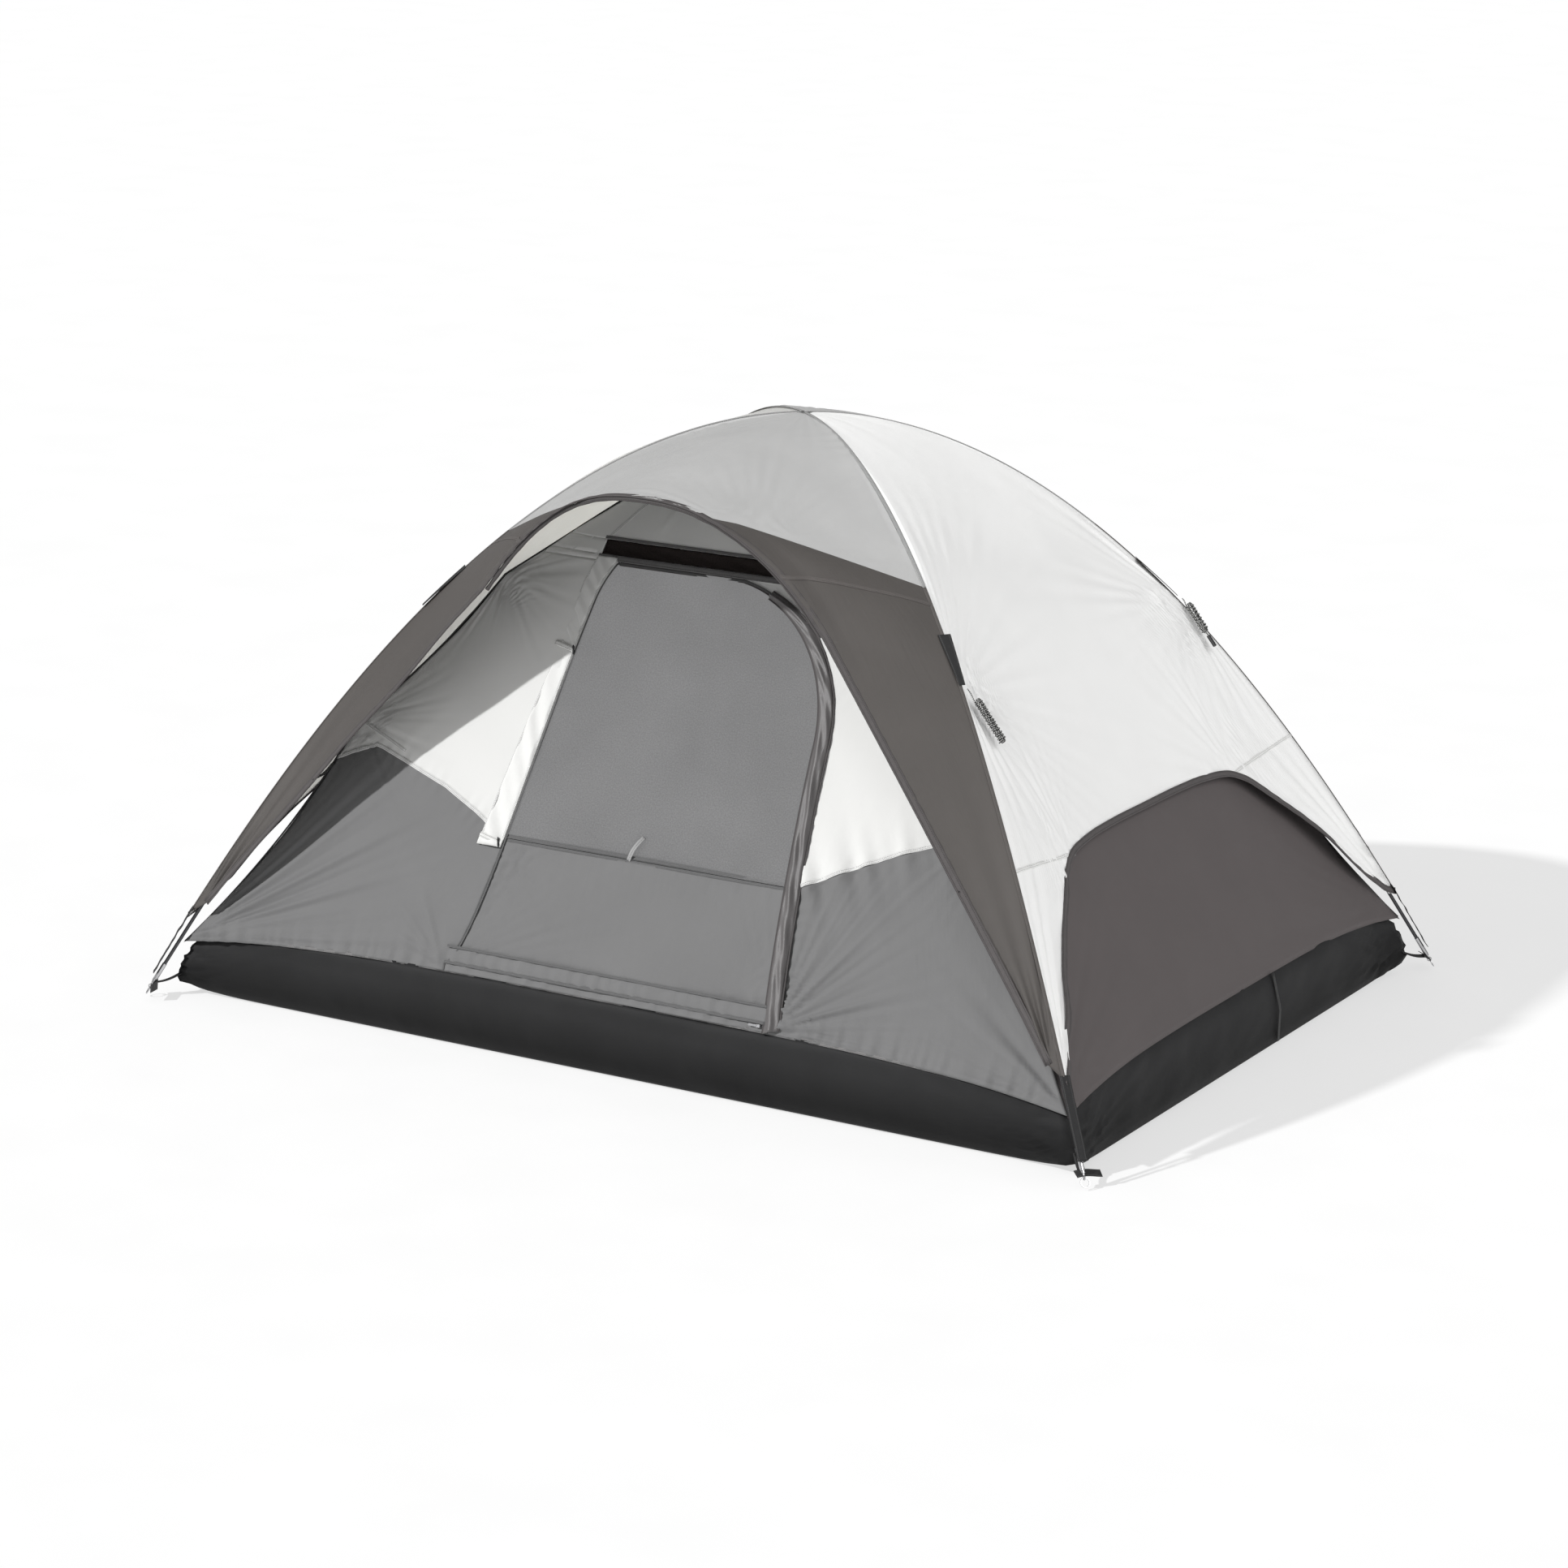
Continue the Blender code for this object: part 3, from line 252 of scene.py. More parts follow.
def stitched(name, colour, rows=(0.22, 0.78), pitch=0.0045, rough=0.7,
             thread=None, spread=0.10, rib=0.0, spec=0.3):
    """Tape or binding: uv.x runs along it in metres, uv.y runs 0..1 across."""
    m, nt, b, out = new_mat(name)
    uv = uv_metres(nt)
    sep = node(nt, "ShaderNodeSeparateXYZ")
    nt.links.new(uv, sep.inputs[0])
    along, across = sep.outputs[0], sep.outputs[1]
    dash = math_node(nt, "SINE", math_node(nt, "MULTIPLY", along, TAU / pitch))
    dash = math_node(nt, "GREATER_THAN", dash, -0.35)
    rows_mask = None
    for r in rows:
        d = math_node(nt, "ABSOLUTE", math_node(nt, "SUBTRACT", across, r))
        g = math_node(nt, "LESS_THAN", d, 0.055)
        rows_mask = g if rows_mask is None else math_node(nt, "MAXIMUM", rows_mask, g)
    st = math_node(nt, "MULTIPLY", dash, rows_mask)
    cloud = noise(nt, stretched(nt, uv, 60, 3, 1), 1.0, 4.0)
    base = ramp(nt, cloud, [(0.3, shade(colour, 1 - spread)),
                            (0.7, shade(colour, 1 + spread))])
    mixc = node(nt, "ShaderNodeMix", data_type="RGBA")
    nt.links.new(st, mixc.inputs["Factor"])
    nt.links.new(base, mixc.inputs["A"])
    mixc.inputs["B"].default_value = (*(thread or shade(colour, 0.45)), 1)
    nt.links.new(mixc.outputs["Result"], b.inputs["Base Color"])
    b.inputs["Roughness"].default_value = rough
    b.inputs["Specular IOR Level"].default_value = spec
    pucker = noise(nt, stretched(nt, uv, 130, 2.5, 1), 1.0, 2.0)
    n1 = bump(nt, pucker, 0.55, 0.0018)
    n2 = bump(nt, st, 0.5, 0.0006, n1)
    if rib:
        w = math_node(nt, "SINE", math_node(nt, "MULTIPLY", along, TAU / rib))
        n2 = bump(nt, w, 0.4, 0.0005, n2)
    nt.links.new(n2, b.inputs["Normal"])
    return m


def metal(name, colour, rough):
    m, nt, b, out = new_mat(name)
    oc = obj_coords(nt)
    n = noise(nt, stretched(nt, oc, 60, 60, 900), 1.0, 3.0)
    b.inputs["Metallic"].default_value = 1.0
    col = ramp(nt, n, [(0.3, shade(colour, 0.82)), (0.7, colour)])
    nt.links.new(col, b.inputs["Base Color"])
    r = node(nt, "ShaderNodeMapRange")
    r.inputs["To Min"].default_value = rough * 0.8
    r.inputs["To Max"].default_value = rough * 1.4
    nt.links.new(n, r.inputs["Value"])
    nt.links.new(r.outputs[0], b.inputs["Roughness"])
    nt.links.new(bump(nt, n, 0.08, 0.0004), b.inputs["Normal"])
    return m


def plastic(name, colour, rough):
    m, nt, b, out = new_mat(name)
    n = noise(nt, obj_coords(nt), 900.0, 3.0)
    col = ramp(nt, n, [(0.3, shade(colour, 0.85)), (0.7, shade(colour, 1.2))])
    nt.links.new(col, b.inputs["Base Color"])
    b.inputs["Roughness"].default_value = rough
    nt.links.new(bump(nt, n, 0.12, 0.0003), b.inputs["Normal"])
    return m


def braid(name, dark, light):
    """Braided cord: uv.x along in metres, uv.y once round."""
    m, nt, b, out = new_mat(name)
    uv = uv_metres(nt)
    sep = node(nt, "ShaderNodeSeparateXYZ")
    nt.links.new(uv, sep.inputs[0])
    u = math_node(nt, "MULTIPLY", sep.outputs[0], 1.0 / 0.0100)
    v = math_node(nt, "MULTIPLY", sep.outputs[1], 2.0)
    a = math_node(nt, "SINE", math_node(nt, "MULTIPLY", math_node(nt, "ADD", u, v), TAU))
    c = math_node(nt, "SINE", math_node(nt, "MULTIPLY", math_node(nt, "SUBTRACT", u, v), TAU))
    k = math_node(nt, "MULTIPLY", a, c)
    f = math_node(nt, "GREATER_THAN", k, 0.34)
    mixc = node(nt, "ShaderNodeMix", data_type="RGBA")
    nt.links.new(f, mixc.inputs["Factor"])
    mixc.inputs["A"].default_value = (*dark, 1)
    mixc.inputs["B"].default_value = (*light, 1)
    nt.links.new(mixc.outputs["Result"], b.inputs["Base Color"])
    b.inputs["Roughness"].default_value = 0.75
    nt.links.new(bump(nt, k, 0.5, 0.0005), b.inputs["Normal"])
    return m


# ------------------------------------------------------------------ materials
M = {
    "fly_white": fabric("fly_white_cloth", (0.821, 0.821, 0.815), 0.62, through=0.10,
                        through_colour=(0.80, 0.79, 0.765), crinkle=0.22,
                        crinkle_scale=5.0, spread=0.02, streak=0.10),
    # painted light: a brighter, more see-through copy of the white fly cloth that stands in for sunlight glowing
    # through the left panel
    "fly_white_painted_sunlit": fabric("fly_white_painted_sunlit_cloth", (0.86, 0.86, 0.855), 0.62, through=0.62,
                              through_colour=(0.93, 0.925, 0.90), crinkle=0.2,
                              crinkle_scale=5.0, spread=0.02, streak=0.10),
    "fly_grey": fabric("fly_grey_cloth", (0.425, 0.425, 0.422), 0.50, through=0.05,
                       crinkle=0.22, crinkle_scale=6.0, spread=0.05, streak=0.12,
                       spec=0.5),
    # dark taupe for the legs below the crease, partly the cloth's own colour and partly painted shade of the fold
    # turned away from the light
    "fly_taupe_and_painted_shade": fabric("fly_taupe_and_painted_shade_cloth", (0.069, 0.063, 0.059), 0.62,
                        crinkle=0.30, crinkle_scale=8.0, spread=0.07, streak=0.2),
    "wall_white": fabric("wall_white_cloth", (0.80, 0.80, 0.785), 0.8, through=0.10,
                         crinkle=0.15, crinkle_scale=6.0, spread=0.015),
    "wall_grey": fabric("wall_grey_cloth", (0.159, 0.159, 0.160), 0.62,
                        crinkle=0.28, crinkle_scale=8.0, spread=0.05, streak=0.15,
                        spec=0.35),
    "wall_taupe": fabric("wall_taupe_cloth", (0.084, 0.074, 0.074), 0.66,
                         crinkle=0.22, crinkle_scale=7.0, spread=0.06, streak=0.12),
    "flap": fabric("flap_cloth", (0.105, 0.099, 0.099), 0.40, crinkle=0.30,
                   crinkle_scale=16.0, spread=0.14, spec=0.6, streak=0.3),
    "strip": fabric("strip_cloth", (0.80, 0.80, 0.785), 0.5, crinkle=0.35,
                    crinkle_scale=18.0, spread=0.02, through=0.06),
    "tub": fabric("tub_cloth", (0.0145, 0.0145, 0.015), 0.6, crinkle=0.35,
                  crinkle_scale=7.0, spread=0.12, spec=0.16),
    "tub_in": fabric("tub_inside_cloth", (0.03, 0.03, 0.031), 0.6, crinkle=0.5),
    "door_net": netting("door_netting", (0.215, 0.215, 0.217), 0.0022, 0.93, 0.22),
    "dark_net": netting("vent_netting", (0.022, 0.017, 0.016), 0.0020, 0.97, 0.5),
    "roof_net": netting("roof_netting", (0.035, 0.033, 0.033), 0.0020, 0.75, 0.4),
    "bind": stitched("dark_binding", (0.072, 0.066, 0.066)),
    "bind_grey": stitched("grey_binding", (0.14, 0.137, 0.137)),
    "bind_white": stitched("white_binding", (0.70, 0.70, 0.685),
                           thread=(0.25, 0.25, 0.24)),
    "seam_white": stitched("white_seam", (0.68, 0.68, 0.67), rows=(0.3, 0.7),
                           thread=(0.20, 0.20, 0.19)),
    "seam_grey": stitched("grey_seam", (0.125, 0.125, 0.126), rows=(0.3, 0.7)),
    # seam colour for the legs, darker to go with their partly painted shade
    "seam_taupe_and_painted_shade": stitched("taupe_and_painted_shade_seam", (0.088, 0.080, 0.076), rows=(0.3, 0.7)),
    "seam_light": stitched("light_seam", (0.28, 0.28, 0.278), rows=(0.3, 0.7)),
    "pipe": stitched("black_piping", (0.016, 0.015, 0.015), rows=(), rough=0.6),
    "webbing": stitched("black_webbing", (0.018, 0.018, 0.0185), rows=(0.12, 0.88),
                        rib=0.0016, rough=0.75, thread=(0.05, 0.05, 0.05)),
    "steel": metal("bright_steel", (0.60, 0.60, 0.61), 0.20),
    "zip": metal("zip_metal", (0.16, 0.16, 0.165), 0.42),
    "glass_pole": plastic("pole_glassfibre", (0.035, 0.035, 0.038), 0.28),
    "black_plastic": plastic("moulded_black", (0.016, 0.016, 0.017), 0.42),
    "coil": stitched("zip_coil", (0.10, 0.10, 0.10), rows=(0.5,), pitch=0.0024),
    "braid": braid("guyline_braid", (0.012, 0.012, 0.013), (0.62, 0.62, 0.60)),
    "elastic": stitched("elastic_cord", (0.02, 0.02, 0.02), rows=()),
    "loop_tape": stitched("pale_tape", (0.33, 0.33, 0.33), rows=(0.5,)),
}


def painted_shade_at_foot(m, low, high, k):
    """Painted shade: deepen a cloth's colour towards the ground."""
    nt = m.node_tree
    b = nt.nodes["Principled BSDF"]
    src = b.inputs["Base Color"].links[0].from_socket
    sep = node(nt, "ShaderNodeSeparateXYZ")
    nt.links.new(obj_coords(nt), sep.inputs[0])
    r = node(nt, "ShaderNodeMapRange")
    r.inputs["From Min"].default_value = low
    r.inputs["From Max"].default_value = high
    r.inputs["To Min"].default_value = k
    r.inputs["To Max"].default_value = 1.15
    nt.links.new(sep.outputs[2], r.inputs["Value"])
    mx = node(nt, "ShaderNodeVectorMath", operation="SCALE")
    nt.links.new(src, mx.inputs[0])
    nt.links.new(r.outputs[0], mx.inputs["Scale"])
    nt.links.new(mx.outputs[0], b.inputs["Base Color"])


# painted shade: the tub's black cloth is darkened towards the ground
painted_shade_at_foot(M["tub"], 0.05, 0.14, 0.42)


# ------------------------------------------------------------------ mesh helpers
def unit(v):
    return v / np.maximum(np.linalg.norm(v, axis=-1, keepdims=True), 1e-12)


def grid_normals(P, outward):
    gu = np.gradient(P, axis=1)
    gv = np.gradient(P, axis=0)
    n = unit(np.cross(gu, gv))
    c = P - np.array(outward, float)
    if np.nansum(n * c) < 0:
        n = -n
    return n


def metric_uv(P):
    du = np.linalg.norm(np.diff(P, axis=1), axis=-1)
    dv = np.linalg.norm(np.diff(P, axis=0), axis=-1)
    U = np.concatenate([np.zeros((P.shape[0], 1)), np.cumsum(du, 1)], 1)
    V = np.concatenate([np.zeros((1, P.shape[1])), np.cumsum(dv, 0)], 0)
    U = U - U[:, [P.shape[1] // 2]]
    return np.stack([U, V], -1)


class Patch:
    def __init__(self, P, mat=0, D=None, outward=(0, 0, 0.4), uv=None):
        self.P = np.array(P, float)
        self.n = grid_normals(self.P, outward)
        if D is not None:
            self.P = self.P + self.n * D[..., None]
        self.mat = mat
        self.uv = metric_uv(self.P) if uv is None else uv


def make_sheet(name, patches, mats, thick=0.0008, body=ROOT, smooth=True,
               merge=2e-5, offset=-1.0):
    verts, faces, uvs, mi = [], [], [], []
    base = 0
    for p in patches:
        nv, nu = p.P.shape[:2]
        verts.append(p.P.reshape(-1, 3))
        idx = np.arange(nv * nu).reshape(nv, nu) + base
        a, b = idx[:-1, :-1].ravel(), idx[:-1, 1:].ravel()
        c, d = idx[1:, 1:].ravel(), idx[1:, :-1].ravel()
        # wind the quads so that the face normal is the outward one
        pp = p.P
        q = (nv // 2, nu // 2)
        q = (min(q[0], nv - 2), min(q[1], nu - 2))
        v1 = pp[q[0], q[1] + 1] - pp[q[0], q[1]]
        v2 = pp[q[0] + 1, q[1]] - pp[q[0], q[1]]
        good = np.dot(np.cross(v1, v2), p.n[q[0], q[1]]) > 0
        f = np.stack([a, b, c, d], -1) if good else np.stack([a, d, c, b], -1)
        faces.append(f)
        uvs.append(p.uv.reshape(-1, 2))
        mi.append(np.full(len(f), p.mat))
        base += nv * nu
    verts = np.concatenate(verts)
    faces = np.concatenate(faces)
    uvs = np.concatenate(uvs)
    mi = np.concatenate(mi)
    me = bpy.data.meshes.new(name)
    me.from_pydata(verts.tolist(), [], faces.tolist())
    uvl = me.uv_layers.new(name="UVMap")
    loops = faces.reshape(-1)
    uvl.data.foreach_set("uv", uvs[loops].astype(np.float32).ravel())
    for m in mats:
        me.materials.append(m)
    me.polygons.foreach_set("material_index", mi.astype(np.int32))
    bm = bmesh.new()
    bm.from_mesh(me)
    if merge:
        bmesh.ops.remove_doubles(bm, verts=bm.verts, dist=merge)
    bm.to_mesh(me)
    bm.free()
    if smooth:
        me.shade_smooth()
    ob = bpy.data.objects.new(name, me)
    scene.collection.objects.link(ob)
    if thick:
        so = ob.modifiers.new("thickness", "SOLIDIFY")
        so.thickness = thick
        so.offset = offset
        so.use_even_offset = False
        so.use_rim = True
    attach(ob, body)
    return ob


def frames(path, up=None):
    """Tangents and carried-along normals of a polyline."""
    P = np.array(path, float)
    T = unit(np.gradient(P, axis=0))
    n = np.array(up if up is not None else (0, 0, 1), float)
    if abs(np.dot(n, T[0])) > 0.95:
        n = np.array((0, 1.0, 0))
    N = []
    n = n - T[0] * np.dot(n, T[0])
    n /= np.linalg.norm(n)
    for t in T:
        n = n - t * np.dot(n, t)
        n = n / max(np.linalg.norm(n), 1e-9)
        N.append(n.copy())
    N = np.array(N)
    B = np.cross(T, N)
    return P, T, N, B


def arclen(P):
    return np.concatenate([[0], np.cumsum(np.linalg.norm(np.diff(P, axis=0), axis=1))])


def make_tube(name, path, radius, mat, sides=10, body=ROOT, up=None, squash=1.0,
              caps=True, close=False):
    P, T, N, B = frames(path, up)
    n = len(P)
    rad = np.full(n, radius) if np.isscalar(radius) else np.array(radius, float)
    ang = np.arange(sides + 1) / sides * TAU
    ring = (N[:, None, :] * np.cos(ang)[None, :, None]
            + B[:, None, :] * np.sin(ang)[None, :, None] * squash)
    V = P[:, None, :] + ring * rad[:, None, None]
    s = arclen(P)
    me = bpy.data.meshes.new(name)
    verts = V[:, :-1].reshape(-1, 3)
    faces, uv = [], []
    for j in range(n - 1):
        for i in range(sides):
            i2 = (i + 1) % sides
            faces.append((j * sides + i, j * sides + i2,
                          (j + 1) * sides + i2, (j + 1) * sides + i))
            uv += [(s[j], i / sides), (s[j], (i + 1) / sides),
                   (s[j + 1], (i + 1) / sides), (s[j + 1], i / sides)]
    if caps:
        faces.append(tuple(range(sides - 1, -1, -1)))
        faces.append(tuple((n - 1) * sides + i for i in range(sides)))
        uv += [(0.0, 0.5)] * sides + [(s[-1], 0.5)] * sides
    me.from_pydata(verts.tolist(), [], faces)
    uvl = me.uv_layers.new(name="UVMap")
    uvl.data.foreach_set("uv", np.array(uv, np.float32).ravel())
    me.materials.append(mat)
    bm = bmesh.new()
    bm.from_mesh(me)
    bmesh.ops.recalc_face_normals(bm, faces=bm.faces)
    bm.to_mesh(me)
    bm.free()
    me.shade_smooth()
    me.set_sharp_from_angle(angle=math.radians(60))
    ob = bpy.data.objects.new(name, me)
    scene.collection.objects.link(ob)
    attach(ob, body)
    return ob


def make_tape(name, path, normals, width, mat, lift=0.0012, thick=0.0012, body=ROOT,
              crown=0.0, across=7, wave=None, shift=0.0):
    """Flat tape on a surface along a path; normals point away from the cloth."""
    P = np.array(path, float)
    T = unit(np.gradient(P, axis=0))
    Nn = unit(np.array(normals, float) * np.ones_like(P))
    Nn = unit(Nn - T * np.sum(Nn * T, -1, keepdims=True))
    B = np.cross(T, Nn)
    s = arclen(P)
    w = np.full(len(P), width) if np.isscalar(width) else np.array(width, float)
    t = np.linspace(-0.5, 0.5, across)
    G = (P[:, None, :] + B[:, None, :] * (t[None, :, None] * w[:, None, None]
                                          + shift)
         + Nn[:, None, :] * (lift + crown * (1 - (2 * t[None, :, None]) ** 2)))
    if wave is not None:
        G = G + Nn[:, None, :] * wave(s[:, None], t[None, :])[..., None]
    uv = np.stack([np.repeat(s[:, None], across, 1),
                   np.repeat(t[None, :] + 0.5, len(P), 0)], -1)
    p = Patch(G, 0, uv=uv)
    p.n = np.repeat(Nn[:, None, :], across, 1)
    return make_sheet(name, [p], [mat], thick=thick, body=body, merge=0)


# ------------------------------------------------------------------ wrinkles
def seeded(seed):
    return np.random.RandomState(seed)


def soft_noise(P, seed, wavelength, amp, terms=7):
    r = seeded(seed)
    out = np.zeros(P.shape[:-1])
    for _ in range(terms):
        k = r.normal(size=3)
        k = k / np.linalg.norm(k) * TAU / (wavelength * r.uniform(0.7, 1.5))
        out += np.sin(P @ k + r.uniform(0, TAU))
    return out * amp / math.sqrt(terms)


def noise1(x, seed, terms=6, low=0.6, high=1.8):
    r = seeded(seed)
    out = np.zeros_like(x)
    for _ in range(terms):
        out += np.sin(x * TAU * r.uniform(low, high) + r.uniform(0, TAU))
    return out / math.sqrt(terms)


def radial_folds(P, A, e1, e2, count, amp, reach, seed=1, r0=0.04):
    """Pull folds that fan out from a point A where the cloth is held."""
    A, e1, e2 = (np.array(v, float) for v in (A, e1, e2))
    d = P - A
    r = np.linalg.norm(d, axis=-1)
    th = np.arctan2(d @ e2, d @ e1)
    env = np.exp(-r / reach) * (1 - np.exp(-(r / r0) ** 2))
    return amp * env * noise1(th * count / TAU, seed)


def along_folds(P, A, B, width, amp):
    """One soft ridge from A to B."""
    A, B = np.array(A, float), np.array(B, float)
    ab = B - A
    t = ((P - A) @ ab) / (ab @ ab)
    tc = np.clip(t, 0, 1)
    d = np.linalg.norm(P - (A + tc[..., None] * ab), axis=-1)
    return amp * np.exp(-(d / width) ** 2) * np.clip(np.sin(np.pi * np.clip(t, 0.02, 0.98)), 0, 1) ** 0.5


def near_line(P, line):
    """Distance to a polyline and the length along it."""
    L = np.array(line, float)
    s = arclen(L)
    best = np.full(P.shape[:-1], 1e9)
    where = np.zeros(P.shape[:-1])
    for k in range(len(L) - 1):
        a, b = L[k], L[k + 1]
        ab = b - a
        t = np.clip(((P - a) @ ab) / max(ab @ ab, 1e-12), 0, 1)
        d = np.linalg.norm(P - (a + t[..., None] * ab), axis=-1)
        m = d < best
        best = np.where(m, d, best)
        where = np.where(m, s[k] + t * (s[k + 1] - s[k]), where)
    return best, where


def puckers(P, line, pitch, amp, reach, seed=3):
    d, s = near_line(P, line)
    return amp * np.exp(-d / reach) * noise1(s / pitch, seed) * (1 - np.exp(-(d / 0.004) ** 2) * 0.6)


# ------------------------------------------------------------------ shapes shared with the frame
def pole_z(s, h=PH):
    return h * np.clip(1 - np.square(s), 0, None) ** PP


def pole_pt(s, sg, h=PH):
    s = np.asarray(s, float)
    return np.stack([s * HL, sg * s * HW, pole_z(s, h)], -1)


def pole_side(sg):
    v = np.array([-sg * HW, HL, 0.0])
    return v / np.linalg.norm(v)


def pole_tan(s, sg, h=PH):
    s = np.asarray(s, float)
    return unit(pole_pt(np.minimum(s + 0.001, 0.9999), sg, h) - pole_pt(s - 0.001, sg, h))


def pole_nrm(s, sg, h=PH):
    n = np.cross(pole_tan(s, sg, h), pole_side(sg))
    n = np.where(n[..., 2:3] < 0, -n, n)
    return unit(n)


def pole_s(z):
    return np.sqrt(np.clip(1 - (np.asarray(z, float) / PH) ** (1 / PP), 0, None))


def fly_edge(s, sg, end=1.0, off=FLY_OFF):
    k = np.asarray(s, float) * end
    return pole_pt(k, sg) + pole_nrm(k, sg) * off


def inner_half(z):
    z = np.clip(z, 0, INNER_H)
    s = np.sqrt(np.clip(1 - (z / INNER_H) ** (1 / PP), 0, None))
    k = s * (1 - INSET * (1 - s * s))
    return HL * k, HW * k


SCALLOP = ((0.150, CLIP_Z[0], 0.044), (CLIP_Z[0], CLIP_Z[1], 0.036),
           (CLIP_Z[1], 1.452, 0.036))


def scallop(z):
    out = np.zeros_like(z)
    for a, b, d in SCALLOP:
        t = np.clip((z - a) / (b - a), 0, 1)
        out = out + d * 4 * t * (1 - t)
    return out


CA, SA = math.cos(math.radians(36.5)), math.sin(math.radians(36.5))


def inner_corner(z):
    """Half x and half y of the sewn corner line of the inner tent."""
    hx, hy = inner_half(z)
    sc = scallop(z)
    return hx - sc * CA, hy - sc * SA


def front_pt(x, z, out=0.0, side=-1.0):
    """On the front (side -1) or rear (+1) inner wall."""
    x, z = np.broadcast_arrays(np.asarray(x, float), np.asarray(z, float))
    hx, hy = inner_half(z)
    cx, cy = inner_corner(z)
    w = np.clip(np.abs(x) / np.maximum(cx, 1e-6), 0, 1) ** 7
    y = hy - (hy - cy) * w
    hy2 = inner_half(z + 0.004)[1]
    n = unit(np.stack([np.zeros_like(z), np.full_like(z, 0.004), hy - hy2], -1))
    p = np.stack([x, y, z], -1) + n * np.asarray(out, float)[..., None] * np.ones_like(z)[..., None]
    p[..., 1] *= side
    return p


def front_nrm(z, side=-1.0):
    z = np.asarray(z, float)
    hy, hy2 = inner_half(z)[1], inner_half(z + 0.004)[1]
    n = unit(np.stack([np.zeros_like(z), np.full_like(z, 0.004), hy - hy2], -1))
    n[..., 1] *= side
    return n


def side_pt(y, z, side=1.0):
    y, z = np.broadcast_arrays(np.asarray(y, float), np.asarray(z, float))
    hx, hy = inner_half(z)
    cx, cy = inner_corner(z)
    w = np.clip(np.abs(y) / np.maximum(cy, 1e-6), 0, 1) ** 7
    x = hx - (hx - cx) * w
    return np.stack([side * x, y, z], -1)


def door_left(z):
    f = np.clip((z - DOOR_BOTTOM) / (DOOR_TOP - DOOR_BOTTOM), 0, 1)
    c = np.clip((z - 1.10) / (DOOR_TOP - 1.10), 0, 1)
    return -0.502 + 0.176 * np.sqrt(f + 0.002) + 0.022 * c ** 2


def door_right(z):
    f = np.clip((z - DOOR_BOTTOM) / (ARCH_FOOT - DOOR_BOTTOM), 0, 1)
    lo = 0.467 - 0.046 * (f + 0.001) ** 0.7
    c = np.clip((z - ARCH_FOOT) / (DOOR_TOP - ARCH_FOOT), 0, 1)
    hi = 0.421 - 0.400 * (1 - np.sqrt(np.clip(1 - c * c, 0, None)))
    return np.where(z <= ARCH_FOOT, lo, hi)


def tub_top_front(x):
    return np.maximum(0.205 - 0.050 * (np.abs(x) / 1.30) ** 4, 0.150)


def tub_top_side(y):
    return np.maximum(0.200 - 0.047 * (np.abs(y) / 0.965) ** 4, 0.150)


# ------------------------------------------------------------------ camera
AZ, EL, ROLL = math.radians(30.63), math.radians(15.09), math.radians(0.57)
CAM = Vector((5.97345, -10.17674, 3.73211))
fwd = Vector((-math.sin(AZ) * math.cos(EL), math.cos(AZ) * math.cos(EL), -math.sin(EL)))
rgt = Vector((math.cos(AZ), math.sin(AZ), 0.0))
upv = rgt.cross(fwd)
r2 = rgt * math.cos(ROLL) + upv * math.sin(ROLL)
u2 = upv * math.cos(ROLL) - rgt * math.sin(ROLL)
cam_data = bpy.data.cameras.new("camera")
cam_data.lens = 105.78
cam_data.sensor_width = 36.0
cam_data.clip_end = 300.0
cam = bpy.data.objects.new("camera", cam_data)
scene.collection.objects.link(cam)
mw = Matrix((r2, u2, -fwd)).transposed().to_4x4()
mw.translation = CAM
cam.matrix_world = mw
scene.camera = cam


# ------------------------------------------------------------------ guylines
def hank_frame(front):
    sg = -1 if front else 1
    s = 0.566
    p = pole_pt(s, sg)
    nn = pole_nrm(s, sg)
    e = p + nn * (FLY_OFF + 0.007)
    e = e + pole_side(sg) * (0.004 * (1 if sg < 0 else -1))
    s0 = float(pole_s(e[2]))
    a, b = fly_edge(s0, 1), fly_edge(s0 + 0.004, 1)
    d = unit(np.array([b[0] - a[0], 0, b[2] - a[2]]))
    n = np.array([-d[2], 0, d[0]])
    e = e + n * 0.002 + d * 0.004
    return e, d, n, np.array([0, 1.0, 0])


CORD_D = 0.0032


